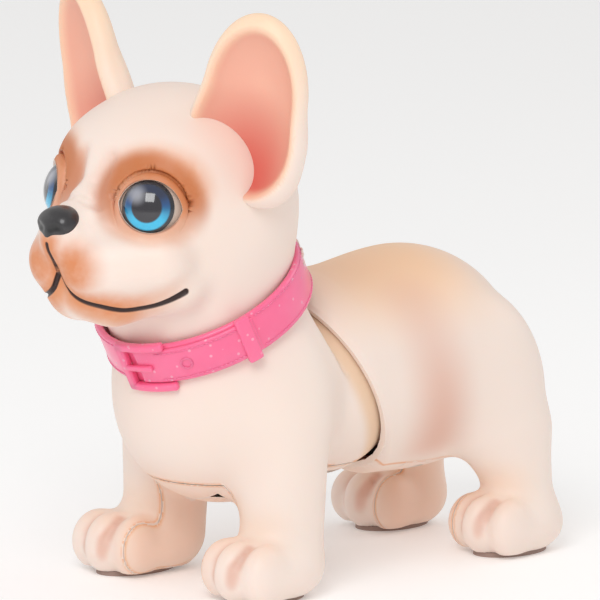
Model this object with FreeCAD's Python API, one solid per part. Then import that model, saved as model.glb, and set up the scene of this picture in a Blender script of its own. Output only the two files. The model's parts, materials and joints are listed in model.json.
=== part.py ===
import FreeCAD, Part

import math
import os

# A battery-driven toy puppy in two halves.  The front half stands on its fore legs and carries the
# head; the rear half swings from side to side on an upright pin at the waist.  Millimetres, +Z up,
# nose towards -Y, origin on the floor below the middle of the toy.

V = FreeCAD.Vector

# ---------------------------------------------------------------- driving dimensions
WALL = 2.2  # moulded shell thickness
PART_GAP = 0.15  # gap left at each parting face
PAD_THICKNESS = 1.6  # rubber sole under each paw
SHOULDER_HEIGHT = 18.0  # rounded top of each leg

WAIST = V(0, 15, 65)  # centre of the ball-shaped waist; the waist pin runs through it
DOME_R = 31.5  # ball at the back of the front half
MOUTH_R = 34.6  # inside of the rear shell's mouth
RIM_R = 36.9  # outside of the rear shell's mouth
SLANT = 27.0  # lean of the waist parting and of the neck, degrees
TORSO_SET_BACK = 6.0  # the front torso meets the ball this far ahead of the rear rim
SWING_SLOT_HALF = 22.0  # half angle of the slot that the drive arm swings in, degrees

NECK = V(0, -31, 97)  # centre of the collar
NECK_R = 34.4  # neck of the body, which the collar grips
HEAD_NECK_R = 33.6  # neck of the head, which turns inside the collar
HEAD_GAP = 0.8
COLLAR_R_IN = 34.4
COLLAR_R_OUT = 36.8
COLLAR_HEIGHT = 15.0

FORE_LEG = V(29.6, -21.9, 0)
FORE_LEG_R = 14.3
FORE_PAW = V(33.0, -32.8, 9.0)
FORE_PAW_RADII = (16.0, 21.5, 12.5)
HIND_LEG = V(27.5, 88.6, 0)
HIND_LEG_R = 12.4
HIND_PAW = V(30.0, 82.5, 9.0)
HIND_PAW_RADII = (16.0, 20.0, 12.5)

CHEST = V(0, -24, 64)
CHEST_RADII = (35.5, 30.0, 33.5)
BELLY_R = 32.5  # round belly between the chest and the waist
PAN_HALF = 19.0  # flat-bottomed battery pan under the belly
PAN_CORNER_R = 9.0
PAN_BOTTOM = 30.6
PAN_START, PAN_END = -42.0, 19.0
TRAY_END = 10.5
RUMP = V(0, 58, 67)
RUMP_RADII = (36.6, 43.6, 37.0)
THIGH = V(26.0, 79.5, 57.0)
THIGH_RADII = (14.5, 21.5, 33.0)
COVER_HALF = 20.0  # half width of both belly covers, inner leg panels included
FRONT_COVER_TOP = 38.0
FRONT_COVER_END = 20.0
REAR_COVER_TOP = 38.0
REAR_COVER_START = 44.0

SKULL = V(0, -46.4, 132.6)
SKULL_R = 39.2
MUZZLE = V(0, -75, 117)
MUZZLE_RADII = (26.0, 25.0, 20.0)
BRIDGE = V(0, -79, 127)  # swelling that carries the nose
BRIDGE_RADII = (14.0, 18.5, 13.0)
HEAD_SPLIT_Y = -36.0  # parting of face and back of head, under the ears
EYE = V(18.6, -70.3, 137.5)
EYE_R = 12.0
EYE_AIM = V(0.606, -0.781, 0.157)  # direction that each eye looks in, on the +X side
IRIS_PLANE = 9.4  # the iris sits this far from the eyeball's centre
IRIS_THICKNESS = 0.6
IRIS_R = 7.3
SOCKET_GAP = 0.3
NOSE = V(0, -96.5, 133.0)
NOSE_RADII = (8.0, 6.0, 6.6)
EAR = V(39.0, -43.5, 170.4)
EAR_SIZE = (22.5, 34.0)  # half width and half height of its outline
EAR_BEND_R = 22.0
EAR_BACK = 7.0  # back of the cup behind the ear's middle
EAR_WALL = 2.6
EAR_DEPTH = 11.5
EAR_TURN = 20.0  # the outer edge lies further back than the inner one
EAR_LEAN = 6.0  # towards the nose
EAR_SPLAY = 12.0  # tips apart

# drive train
MODULE = 0.8
PINION_TEETH = 10
REDUCER_TEETH = 30
SECTOR_TEETH = 36
BACKLASH = 0.22
SECTOR_HALF_ANGLE = 30.5  # toothed part of the sector, each side of straight ahead
SECTOR_Z = 66.0
GEAR_THICKNESS = 4.0
REDUCER_Z = 70.6  # middle of the large gear
REDUCER_THICKNESS = 2.8
PIN_R = 2.0
SPINDLE_R = 1.0
MOTOR_R = 8.0
MOTOR_TOP = 66.0
PLATE_LOW, PLATE_HIGH = 58.0, 74.0
PLATE_THICKNESS = 2.0
COLUMN_R = 2.2

# batteries and electrics
CELL_R = 5.25
CELL_LENGTH = 44.5
CELL_TIP = 0.9
CELL_PITCH = 10.8
CONTACT = 0.4  # thickness of the contact plates
CELL_Z = 40.6
TRAY_TOP = 48.5
TRAY_START = PAN_START + WALL + 0.2
SCREW_R = 1.2
SCREW_HEAD_R = 2.4
SCREW_HEAD_HEIGHT = 1.4
SPEAKER = V(0, 67, 34.6)
SPEAKER_R = 8.5
SWITCH = V(0, 49.0, 0)  # middle of the slider in its off position
SWITCH_TRAVEL = 4.0
POST_X, POST_Y = 13.0, 54.0
POST_R = 3.6
REAR_SCREW_LENGTH = 33.0
LEG_SCREW_Z = 22.0
LEG_BOSS_R = 2.8
LEG_SCREW_LENGTH = 16.0
HIP_FRAME_BOTTOM = 60.0
BORE_CLEARANCE = 0.06
ARM_HALF_WIDTH = 5.0

UP = V(0, 0, 1)
NECK_UP = V(0, -math.sin(math.radians(SLANT)), math.cos(math.radians(SLANT)))
NECK_BACK = V(0, math.cos(math.radians(SLANT)), math.sin(math.radians(SLANT)))
FAR = 200.0


# ---------------------------------------------------------------- small helpers
def at(point, x=None, y=None, z=None):
    """A copy of a point with some of its coordinates replaced."""
    return V(point.x if x is None else x, point.y if y is None else y, point.z if z is None else z)


def ball(centre, radius):
    return Part.makeSphere(radius, centre)


def ellipsoid(centre, radii):
    grown = FreeCAD.Matrix()
    grown.scale(V(*radii))
    shape = Part.makeSphere(1.0).transformGeometry(grown)
    shape.translate(centre)
    return shape


def shrunk(radii, by):
    return tuple(r - by for r in radii)


def rod(start, end, radius, end_radius=None):
    """A round bar, or a cone where the end radius differs."""
    along = end - start
    if end_radius is None or abs(end_radius - radius) < 1e-6:
        return Part.makeCylinder(radius, along.Length, start, along)
    return Part.makeCone(radius, end_radius, along.Length, start, along)


def tube(start, end, outer, inner):
    return rod(start, end, outer).cut(rod(start, end, inner))


def block(low, high):
    size = high - low
    return Part.makeBox(size.x, size.y, size.z, low)


def joined(shapes):
    return shapes[0].multiFuse(shapes[1:]) if len(shapes) > 1 else shapes[0]


def mirrored(shape):
    return shape.mirror(V(0, 0, 0), V(1, 0, 0))


def both_sides(shape):
    return [shape, mirrored(shape)]


def turned(shape, centre, axis, degrees):
    shape = shape.copy()
    shape.rotate(centre, axis, degrees)
    return shape


def half_space(point, normal):
    """A large block that fills the side of a plane that its normal points to."""
    slab = Part.makeBox(2 * FAR, 2 * FAR, FAR, V(-FAR, -FAR, 0))
    slab.Placement = FreeCAD.Placement(point, FreeCAD.Rotation(UP, normal))
    return slab


def save(name, *shapes):
    """Writes one node: a compound of all the solids in the shapes given."""
    solids = [s for shape in shapes for s in shape.Solids]
    kept = [s for s in solids if s.Volume > 0.5]
    result = kept[0] if len(kept) == 1 else Part.makeCompound(kept)
    result.exportStep(os.path.join("parts", name + ".step"))
    box = result.BoundBox
    print("%-24s solids %2d  volume %9.1f  valid %s  z %.1f to %.1f"
          % (name, len(kept), result.Volume, result.isValid(), box.ZMin, box.ZMax))
    return result


# ---------------------------------------------------------------- shells of the front half
def leg_and_paw(leg, leg_radius, top, paw, paw_radii, inset):
    """One leg with its paw, on the +X side.  inset is 0 for the outside, WALL for the hollow."""
    foot = at(leg, z=PAD_THICKNESS + 8.0)
    column = rod(at(leg, z=top), foot, leg_radius + 1.5 - inset, leg_radius - inset)
    wide = leg_radius + 1.5
    shoulder = ellipsoid(at(leg, z=top), shrunk((wide, wide, SHOULDER_HEIGHT), inset))
    toes = ellipsoid(paw, shrunk(paw_radii, inset))
    floor = block(V(-FAR, -FAR, -FAR), V(FAR, FAR, PAD_THICKNESS + inset))
    return joined([column, shoulder, toes]).cut(floor)


def battery_pan(inset):
    """The flat-bottomed bulge that the cells lie in."""
    low, high = V(0, PAN_START + inset, PAN_BOTTOM + inset), PAN_END - inset
    middle = PAN_HALF - PAN_CORNER_R
    corner_z = PAN_BOTTOM + PAN_CORNER_R
    corner = rod(V(middle, low.y, corner_z), V(middle, high, corner_z), PAN_CORNER_R - inset)
    flat = block(V(-middle, low.y, low.z), V(middle, high, corner_z + 4))
    sides = block(V(inset - PAN_HALF, low.y, corner_z), V(PAN_HALF - inset, high, corner_z + 4))
    return joined([flat, sides, *both_sides(corner)])


def front_solid(inset):
    """The outside of the front half, or its hollow when inset is the wall thickness."""
    chest = ellipsoid(CHEST, shrunk(CHEST_RADII, inset))
    neck_top = NECK + NECK_UP * (1.0 if inset else 0.0)
    neck = rod(NECK - NECK_UP * 34.0, neck_top, NECK_R - inset)
    belly = rod(V(0, -34, CHEST.z), V(0, 34, CHEST.z + 1), BELLY_R - inset)
    torso = joined([chest, neck, belly, battery_pan(inset)])
    behind = half_space(WAIST - NECK_BACK * (TORSO_SET_BACK + inset), NECK_BACK)
    swept = behind.common(ball(WAIST, RIM_R + 1.5 + inset))
    below = block(V(-FAR, WAIST.y, -FAR), V(FAR, FAR, WAIST.z)).common(behind)
    torso = torso.cut(swept).cut(below).fuse(ball(WAIST, DOME_R - inset))
    legs = leg_and_paw(FORE_LEG, FORE_LEG_R, 58.0, FORE_PAW, FORE_PAW_RADII, inset)
    return joined([torso, *both_sides(legs)])


def drive_slot():
    """The slot at the back of the ball that the drive arm swings in."""
    half = GEAR_THICKNESS / 2 + 1.2
    reach = DOME_R + 6.0
    wedge = Part.makeCylinder(reach, 2 * half, at(WAIST, z=SECTOR_Z - half), UP, 2 * SWING_SLOT_HALF)
    inner = rod(at(WAIST, z=SECTOR_Z - half), at(WAIST, z=SECTOR_Z + half), DOME_R - 2 * WALL)
    return turned(wedge, WAIST, UP, 90 - SWING_SLOT_HALF).cut(inner)


def cover_block(start, end, top, gap):
    half = COVER_HALF - gap
    return block(V(-half, start + gap, -1), V(half, end - gap, top - gap))


def door_block(gap):
    half = PAN_HALF - 4.0 - gap
    return block(V(-half, PAN_START + 4 + gap, 0), V(half, PAN_END - 1.2 - gap, PAN_BOTTOM + 1.8))


def screw(head, direction, length):
    """A pan-head screw whose head sits at a point and whose shank runs along a direction."""
    direction = V(direction).normalize()
    shank = rod(head, head + direction * length, SCREW_R)
    cap = rod(head, head + direction * SCREW_HEAD_HEIGHT, SCREW_HEAD_R)
    slot = block(V(-0.3, -SCREW_HEAD_R, -0.1), V(0.3, SCREW_HEAD_R, 0.5))
    slot.Placement = FreeCAD.Placement(head, FreeCAD.Rotation(UP, direction))
    return cap.fuse(shank).cut(slot)


def screw_hole(head, direction, length):
    direction = V(direction).normalize()
    hole = rod(head, head + direction * length, SCREW_R)
    seat = rod(head - direction * 6, head + direction * SCREW_HEAD_HEIGHT, SCREW_HEAD_R)
    return hole.fuse(seat)


DOOR_SCREW = V(0, TRAY_END + 3.4, PAN_BOTTOM + 0.4)
DOOR_SCREW_LENGTH = 9.0


def leg_fastening(leg, radius):
    """Bosses of the inner leg panels, studs of the outer legs, the screws and their holes."""
    bosses, studs, screws, holes = [], [], [], []
    inside = leg.x - radius + WALL * 0.5
    for side in (1, -1):
        along = V(side, 0, 0)
        head = V(side * (inside + 0.4), leg.y, LEG_SCREW_Z)
        middle = V(side * COVER_HALF, leg.y, LEG_SCREW_Z)
        outer = V(side * (leg.x + radius - WALL / 2), leg.y, LEG_SCREW_Z)
        bosses.append(rod(head + along * 0.2, middle - along * PART_GAP, LEG_BOSS_R))
        studs.append(rod(middle, outer, LEG_BOSS_R))
        screws.append(screw(head, along, LEG_SCREW_LENGTH))
        holes.append(screw_hole(head, along, LEG_SCREW_LENGTH))
    return bosses, studs, screws, holes


def front_shells():
    shell = front_solid(0.0).cut(front_solid(WALL)).cut(drive_slot()).cut(half_space(NECK, NECK_UP))
    bosses, studs, screws, holes = leg_fastening(FORE_LEG, FORE_LEG_R)
    shell = shell.fuse(joined(studs))
    cover = shell.common(cover_block(-60, FRONT_COVER_END, FRONT_COVER_TOP, PART_GAP))
    shell = shell.cut(cover_block(-60, FRONT_COVER_END, FRONT_COVER_TOP, 0.0)).cut(joined(holes))
    cover = cover.fuse(joined(bosses)).cut(joined(holes))
    door = cover.common(door_block(PART_GAP)).cut(screw_hole(DOOR_SCREW, UP, DOOR_SCREW_LENGTH))
    cover = cover.cut(door_block(0.0)).cut(screw_hole(DOOR_SCREW, UP, DOOR_SCREW_LENGTH))
    return shell, cover, door, screws


# ---------------------------------------------------------------- cells and electrics
def cell_places():
    return [-CELL_PITCH, 0.0, CELL_PITCH]


def battery_tray():
    half = 1.5 * CELL_PITCH + 0.2
    start, end = TRAY_START, TRAY_END
    tray = block(V(-half, start, CELL_Z), V(half, end, TRAY_TOP))
    for x in cell_places():
        tray = tray.cut(rod(V(x, start + 1.4, CELL_Z), V(x, end - 1.4, CELL_Z), CELL_R + 0.1))
    boss = rod(V(0, DOOR_SCREW.y, PAN_BOTTOM + WALL), V(0, DOOR_SCREW.y, TRAY_TOP - 4), 2.6)
    web = block(V(-2.6, end - 0.5, CELL_Z), V(2.6, DOOR_SCREW.y, TRAY_TOP - 4))
    return joined([tray, boss, web]).cut(screw_hole(DOOR_SCREW, UP, DOOR_SCREW_LENGTH))


def cells():
    middle = (TRAY_START + TRAY_END) / 2
    half = (CELL_LENGTH - CELL_TIP) / 2
    made = []
    for x, end in zip(cell_places(), (1, -1, 1)):
        a = V(x, middle - end * (half + CELL_TIP / 2), CELL_Z)
        b = V(x, middle + end * (half - CELL_TIP / 2), CELL_Z)
        tip = b + (b - a).normalize() * CELL_TIP
        made.append(rod(a, b, CELL_R).fuse(rod(b, tip, 1.8)))
    return made


def battery_contacts():
    """One plate behind each end of each cell."""
    start, end = TRAY_START + 1.4, TRAY_END - 1.4
    made = []
    for x in cell_places():
        for y in (start, end - CONTACT):
            made.append(block(V(x - 3.6, y, CELL_Z + 0.3), V(x + 3.6, y + CONTACT, CELL_Z + 4.0)))
    return made


def motor():
    can = rod(V(0, MOTOR_Y, TRAY_TOP), V(0, MOTOR_Y, MOTOR_TOP), MOTOR_R)
    flats = block(V(-6.4, MOTOR_Y - MOTOR_R, 0), V(6.4, MOTOR_Y + MOTOR_R, FAR))
    nose = rod(V(0, MOTOR_Y, MOTOR_TOP), V(0, MOTOR_Y, MOTOR_TOP + 1.2), 3.0)
    bore = rod(V(0, MOTOR_Y, MOTOR_TOP - 6), V(0, MOTOR_Y, MOTOR_TOP + 2), SPINDLE_R + BORE_CLEARANCE)
    return can.common(flats).fuse(nose).cut(bore)


def circuit_board():
    y = PCB_Y
    board = block(V(-14, y, TRAY_TOP), V(14, y + 1.6, 80))
    holes = [rod(V(x, y - 1, 77), V(x, y + 3, 77), 1.0) for x in (-11.5, 11.5)]
    return board.cut(joined(holes))


def board_parts():
    """Chip, crystal, capacitors and plug sockets on the back of the board."""
    y = PCB_Y + 1.6
    return [
        block(V(-5, y, 60), V(5, y + 1.6, 66)),
        block(V(-11, y, 68), V(-6.5, y + 3.2, 72)),
        rod(V(9, y, 70), V(9, y + 5.0, 70), 2.2),
        rod(V(9, y, 62.5), V(9, y + 5.0, 62.5), 2.2),
        block(V(-11.5, y, 53), V(-4.5, y + 4.0, 57)),
        block(V(2.5, y, 53), V(9.5, y + 4.0, 57)),
    ]


def speaker():
    frame = rod(SPEAKER, SPEAKER + UP * 1.6, SPEAKER_R)
    basket = rod(SPEAKER + UP * 1.6, SPEAKER + UP * 3.6, SPEAKER_R - 1.0, 5.5)
    magnet = rod(SPEAKER + UP * 3.6, SPEAKER + UP * 6.2, 5.5)
    cone = rod(SPEAKER, SPEAKER + UP * 1.0, SPEAKER_R - 1.4, 4.0)
    return joined([frame, basket, magnet]).cut(cone)


# ---------------------------------------------------------------- drive train
MOTOR_Y = WAIST.y - MODULE * (SECTOR_TEETH + PINION_TEETH) / 2 - MODULE * (REDUCER_TEETH + PINION_TEETH) / 2
REDUCER_Y = WAIST.y - MODULE * (SECTOR_TEETH + PINION_TEETH) / 2
PCB_Y = -38.0
COLUMNS = [V(14.5, -27.0, 0), V(-14.5, -27.0, 0), V(14.5, 5.0, 0), V(-14.5, 5.0, 0)]


def tooth_outline(teeth, first_angle, count):
    """Points of a run of teeth with sloping flanks, thinned by half the backlash each side."""
    pitch_r = MODULE * teeth / 2
    root_r, tip_r = pitch_r - 1.2 * MODULE, pitch_r + 0.95 * MODULE
    step = 2 * math.pi / teeth
    thin = BACKLASH / 2 / pitch_r
    half_root = step * 0.25 + 0.30 * 1.2 * MODULE / pitch_r - thin
    half_pitch = step * 0.25 - thin
    half_tip = step * 0.25 - 0.42 * 0.95 * MODULE / pitch_r - thin
    points = []
    for i in range(count):
        middle = first_angle + i * step
        for radius, offset in ((root_r, -half_root), (pitch_r, -half_pitch), (tip_r, -half_tip),
                               (tip_r, half_tip), (pitch_r, half_pitch), (root_r, half_root)):
            angle = middle + offset
            points.append(V(radius * math.cos(angle), radius * math.sin(angle), 0))
    return points


def extruded(points, low, thickness):
    wire = Part.makePolygon(points + [points[0]])
    return Part.Face(wire).extrude(UP * thickness).translated(low)


def gear(centre, teeth, z_middle, thickness, phase):
    points = tooth_outline(teeth, phase, teeth)
    return extruded(points, at(centre, z=z_middle - thickness / 2), thickness)


def phases():
    """Angles that put a tooth of each wheel in a gap of the next one along the centre line."""
    sector_tooth = -math.pi / 2
    pinion_gap = math.pi / 2 + math.pi / PINION_TEETH
    motor_gap = math.pi / 2 + math.pi / PINION_TEETH
    return sector_tooth, pinion_gap, -math.pi / 2, motor_gap


def reducer():
    _, pinion_phase, wheel_phase, _ = phases()
    centre = V(0, REDUCER_Y, 0)
    wheel = gear(centre, REDUCER_TEETH, REDUCER_Z, REDUCER_THICKNESS, wheel_phase)
    top = REDUCER_Z - REDUCER_THICKNESS / 2
    bottom = SECTOR_Z - GEAR_THICKNESS / 2 - 0.4
    pinion = gear(centre, PINION_TEETH, (top + bottom) / 2, top - bottom, pinion_phase)
    bore = rod(at(centre, z=0), at(centre, z=100), 1.5 + BORE_CLEARANCE)
    return wheel.fuse(pinion).cut(bore)


def motor_pinion():
    centre = V(0, MOTOR_Y, 0)
    bore = rod(at(centre, z=0), at(centre, z=100), SPINDLE_R)
    return gear(centre, PINION_TEETH, REDUCER_Z, REDUCER_THICKNESS, phases()[3]).cut(bore)


def motor_shaft():
    return rod(V(0, MOTOR_Y, MOTOR_TOP - 5.5), V(0, MOTOR_Y, REDUCER_Z + REDUCER_THICKNESS / 2), SPINDLE_R)


def drive_arm():
    """Toothed sector, hub and the arm that reaches back into the rear half."""
    step = 2 * math.pi / SECTOR_TEETH
    side = int(math.radians(SECTOR_HALF_ANGLE) / step)
    points = [V(0, 0, 0)] + tooth_outline(SECTOR_TEETH, -math.pi / 2 - side * step, 2 * side + 1)
    low = SECTOR_Z - GEAR_THICKNESS / 2
    sector = extruded(points, at(WAIST, z=low), GEAR_THICKNESS)
    hub = rod(at(WAIST, z=low - 2.0), at(WAIST, z=low + GEAR_THICKNESS), 5.0)
    arm = block(V(-ARM_HALF_WIDTH, WAIST.y, low), V(ARM_HALF_WIDTH, 74, low + GEAR_THICKNESS))
    bore = rod(at(WAIST, z=0), at(WAIST, z=100), PIN_R + BORE_CLEARANCE)
    holes = [rod(V(0, y, 0), V(0, y, 100), SCREW_R) for y in ARM_SCREW_Y]
    return joined([sector, hub, arm]).cut(joined([bore, *holes]))


ARM_SCREW_Y = (56.0, 70.0)


AXLE_R = 1.5
AXLE_BOSS_R = 3.0
PIN_BOSS_R = 4.0


def gearbox_plate(bottom):
    return block(V(-17, -30, bottom), V(17, 21, bottom + PLATE_THICKNESS))


def gearbox_frame():
    plate = gearbox_plate(PLATE_LOW)
    posts = [rod(at(c, z=TRAY_TOP), at(c, z=PLATE_HIGH), COLUMN_R) for c in COLUMNS]
    sector_bottom = SECTOR_Z - GEAR_THICKNESS / 2
    posts.append(rod(V(0, REDUCER_Y, PLATE_LOW), V(0, REDUCER_Y, sector_bottom - 0.8), AXLE_BOSS_R))
    posts.append(rod(at(WAIST, z=PLATE_LOW), at(WAIST, z=sector_bottom - 2.4), PIN_BOSS_R))
    holes = [rod(V(0, MOTOR_Y, 0), V(0, MOTOR_Y, 100), MOTOR_R + 0.1)]
    holes.append(rod(V(0, REDUCER_Y, 0), V(0, REDUCER_Y, 100), AXLE_R))
    holes.append(rod(at(WAIST, z=0), at(WAIST, z=100), PIN_R))
    holes += [rod(at(c, z=PLATE_HIGH - 8), at(c, z=100), SCREW_R) for c in COLUMNS]
    return joined([plate, *posts]).cut(joined(holes))


def gearbox_cover():
    reducer_top = REDUCER_Z + REDUCER_THICKNESS / 2
    sector_top = SECTOR_Z + GEAR_THICKNESS / 2
    axle_boss = rod(V(0, REDUCER_Y, reducer_top + 0.4), V(0, REDUCER_Y, PLATE_HIGH), AXLE_BOSS_R)
    pin_boss = rod(at(WAIST, z=sector_top + 0.4), at(WAIST, z=PLATE_HIGH), PIN_BOSS_R)
    plate = joined([gearbox_plate(PLATE_HIGH), axle_boss, pin_boss])
    holes = [rod(V(0, REDUCER_Y, 0), V(0, REDUCER_Y, 100), AXLE_R)]
    holes.append(rod(at(WAIST, z=0), at(WAIST, z=100), PIN_R))
    holes += [rod(at(c, z=0), at(c, z=100), SCREW_R) for c in COLUMNS]
    return plate.cut(joined(holes))


def gearbox_screws():
    top = PLATE_HIGH + PLATE_THICKNESS + SCREW_HEAD_HEIGHT
    return [screw(at(c, z=top), V(0, 0, -1), 10.0) for c in COLUMNS]


# ---------------------------------------------------------------- rear half
def rear_solid(inset, mouth_r):
    """The outside of the rear half, or its hollow."""
    rump = ellipsoid(RUMP, shrunk(RUMP_RADII, inset))
    flank = rod(WAIST, at(RUMP, y=RUMP.y + 4), mouth_r - 0.3, RUMP_RADII[0] - 0.3 - inset)
    body = joined([ball(WAIST, mouth_r), flank, rump])
    leg = leg_and_paw(HIND_LEG, HIND_LEG_R, 58.0, HIND_PAW, HIND_PAW_RADII, inset)
    thigh = ellipsoid(THIGH, shrunk(THIGH_RADII, inset))
    return joined([body, *both_sides(leg), *both_sides(thigh)])


def rear_posts(low, high):
    return joined([rod(V(x, POST_Y, low), V(x, POST_Y, high), POST_R) for x in (-POST_X, POST_X)])


def rear_screw_seats():
    return [V(x, POST_Y, 38.0) for x in (-POST_X, POST_X)]


def rear_shells():
    outside = rear_solid(0.0, RIM_R)
    hollow = rear_solid(WALL, MOUTH_R)
    shell = outside.cut(hollow).cut(half_space(WAIST, -NECK_BACK))
    bosses, studs, screws, holes = leg_fastening(HIND_LEG, HIND_LEG_R)
    shell = shell.fuse(joined(studs))
    region = cover_block(REAR_COVER_START, FAR, REAR_COVER_TOP, PART_GAP)
    cover = shell.common(region)
    cover = joined([cover, rear_posts(30.0, HIP_FRAME_BOTTOM).common(outside), *bosses]).cut(joined(holes))
    for seat in rear_screw_seats():
        cover = cover.cut(screw_hole(seat, UP, REAR_SCREW_LENGTH))
        cover = cover.cut(rod(at(seat, z=0), seat, SCREW_HEAD_R))
    slot = block(SWITCH + V(-1.9, -2.0, 25), SWITCH + V(1.9, 2.0 + SWITCH_TRAVEL, 33.6))
    grille = [rod(V(x, SPEAKER.y + y, 25), V(x, SPEAKER.y + y, SPEAKER.z), 0.9)
              for x in (-5, 0, 5) for y in (-5, 0, 5)]
    cover = cover.cut(slot).cut(joined(grille)).cut(rod(SPEAKER, SPEAKER + UP * 8, SPEAKER_R + 0.2))
    shell = shell.cut(cover_block(REAR_COVER_START, FAR, REAR_COVER_TOP, 0.0)).cut(joined(holes))
    shell = shell.fuse(rear_posts(SECTOR_Z - GEAR_THICKNESS / 2, 110.0).common(outside))
    for seat in rear_screw_seats():
        shell = shell.cut(screw_hole(seat, UP, REAR_SCREW_LENGTH))
    return shell, cover, screws


def hip_frame():
    plate = block(V(-20, 48.5, HIP_FRAME_BOTTOM), V(20, 78, SECTOR_Z - GEAR_THICKNESS / 2))
    holes = [rod(V(0, y, 0), V(0, y, 100), SCREW_R) for y in ARM_SCREW_Y]
    holes += [rod(at(s, z=0), at(s, z=100), SCREW_R) for s in rear_screw_seats()]
    return plate.cut(joined(holes))


def arm_screws():
    top = SECTOR_Z + GEAR_THICKNESS / 2 + SCREW_HEAD_HEIGHT
    return [screw(V(0, y, top), V(0, 0, -1), 8.5) for y in ARM_SCREW_Y]


def rear_cover_screws():
    return [screw(seat, UP, REAR_SCREW_LENGTH) for seat in rear_screw_seats()]


def switch_body():
    body = block(SWITCH + V(-5, -4, 33.6), SWITCH + V(5, 4 + SWITCH_TRAVEL, 38.4))
    channel = block(SWITCH + V(-1.9, -2.0, 30), SWITCH + V(1.9, 2.0 + SWITCH_TRAVEL, 36))
    return body.cut(channel)


def switch_knob():
    knob = block(SWITCH + V(-1.6, -1.7, 28.6), SWITCH + V(1.6, 1.7, 35.6))
    ridges = [block(SWITCH + V(-1.6, y, 28.2), SWITCH + V(1.6, y + 0.5, 28.7)) for y in (-1.4, -0.25, 0.9)]
    return joined([knob, *ridges])


# ---------------------------------------------------------------- neck, head and collar
def collar_ring(inner, outer, low, high):
    return tube(NECK + NECK_UP * low, NECK + NECK_UP * high, outer, inner)


def collar_strap():
    return collar_ring(COLLAR_R_IN, COLLAR_R_OUT, -COLLAR_HEIGHT / 2, COLLAR_HEIGHT / 2)


def collar_sector(inner, outer, low, high, start, end):
    """A piece of a ring round the neck, between two angles measured from straight ahead to +X."""
    ring = Part.makeCylinder(outer, high - low, V(0, 0, low), UP, end - start)
    ring = ring.cut(Part.makeCylinder(inner, high - low, V(0, 0, low), UP))
    ring.rotate(V(0, 0, 0), UP, start - 90)
    ring.rotate(V(0, 0, 0), V(1, 0, 0), SLANT)
    ring.translate(NECK)
    return ring


def collar_tongue():
    return collar_sector(COLLAR_R_OUT, COLLAR_R_OUT + 1.4, -6.2, 6.2, 8, 74)


def collar_buckle():
    inner = COLLAR_R_OUT
    frame = collar_sector(inner, inner + 2.8, -9.6, 9.6, -3, 26)
    window = collar_sector(inner, inner + 3.0, -6.5, 6.5, 2.0, 27)
    return frame.cut(window)


def buckle_prong():
    inner = COLLAR_R_OUT + 1.4
    return collar_sector(inner, inner + 1.2, -1.0, 1.0, 2.2, 16)


def collar_keeper():
    inner = COLLAR_R_OUT
    band = collar_sector(inner, inner + 2.6, -8.6, 8.6, 66, 74)
    return band.cut(collar_sector(inner, inner + 1.4, -6.2, 6.2, 60, 80))


def collar_rivet():
    direction = V(math.sin(math.radians(36)), -math.cos(math.radians(36)) * NECK_UP.z,
                  -math.cos(math.radians(36)) * NECK_BACK.z)
    start = NECK + direction * (COLLAR_R_OUT + 1.4)
    return tube(start, start + direction * 0.7, 2.0, 1.2)


def neck_post():
    """A plate in the neck of the body with the hollow post that the head turns on."""
    plate = rod(NECK - NECK_UP * 3.0, NECK, NECK_R - WALL)
    post = rod(NECK, NECK + NECK_UP * 16.0, 6.0)
    hole = rod(NECK + NECK_UP * 6.0, NECK + NECK_UP * 17.0, SCREW_R)
    return plate.fuse(post).cut(hole)


def head_base():
    """The plate that closes the bottom of the head, with its bearing."""
    plate = rod(NECK + NECK_UP * HEAD_GAP, NECK + NECK_UP * (HEAD_GAP + 2.4), HEAD_NECK_R - WALL)
    hub = rod(NECK + NECK_UP * HEAD_GAP, NECK + NECK_UP * 15.6, 9.0)
    bore = rod(NECK, NECK + NECK_UP * 20.0, 6.0 + BORE_CLEARANCE)
    return plate.fuse(hub).cut(bore)


def neck_washer():
    return tube(NECK + NECK_UP * 16.0, NECK + NECK_UP * 17.2, 8.5, SCREW_R)


def neck_screw():
    return screw(NECK + NECK_UP * (17.2 + SCREW_HEAD_HEIGHT), -NECK_UP, 10.0)


def head_solid(inset):
    skull = ball(SKULL, SKULL_R - inset)
    muzzle = ellipsoid(MUZZLE, shrunk(MUZZLE_RADII, inset))
    bridge = ellipsoid(BRIDGE, shrunk(BRIDGE_RADII, inset))
    bottom = NECK + NECK_UP * (HEAD_GAP if not inset else -2.0)
    neck = rod(bottom, NECK + NECK_UP * 18.0, HEAD_NECK_R - inset)
    return joined([skull, muzzle, bridge, neck])


HEAD_SCREW_X, HEAD_SCREW_Z = 32.0, 133.0
HEAD_SCREW_Y = -27.5


def head_bosses():
    return [rod(V(x, -48, HEAD_SCREW_Z), V(x, -20, HEAD_SCREW_Z), 4.0) for x in (-HEAD_SCREW_X, HEAD_SCREW_X)]


def head_screws():
    return [screw(V(x, HEAD_SCREW_Y, HEAD_SCREW_Z), V(0, -1, 0), 16.0) for x in (-HEAD_SCREW_X, HEAD_SCREW_X)]


def head_shells():
    outside = head_solid(0.0)
    shell = outside.cut(head_solid(WALL)).fuse(joined(head_bosses()).common(outside))
    for x in (-HEAD_SCREW_X, HEAD_SCREW_X):
        shell = shell.cut(screw_hole(V(x, HEAD_SCREW_Y, HEAD_SCREW_Z), V(0, -1, 0), 16.0))
    for eye in both_sides(ball(EYE, EYE_R + SOCKET_GAP)):
        shell = shell.cut(eye)
    ahead = block(V(-FAR, -FAR, -FAR), V(FAR, HEAD_SPLIT_Y - PART_GAP / 2, FAR))
    behind = block(V(-FAR, HEAD_SPLIT_Y + PART_GAP / 2, -FAR), V(FAR, FAR, FAR))
    return shell.common(ahead), shell.common(behind), outside


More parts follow.
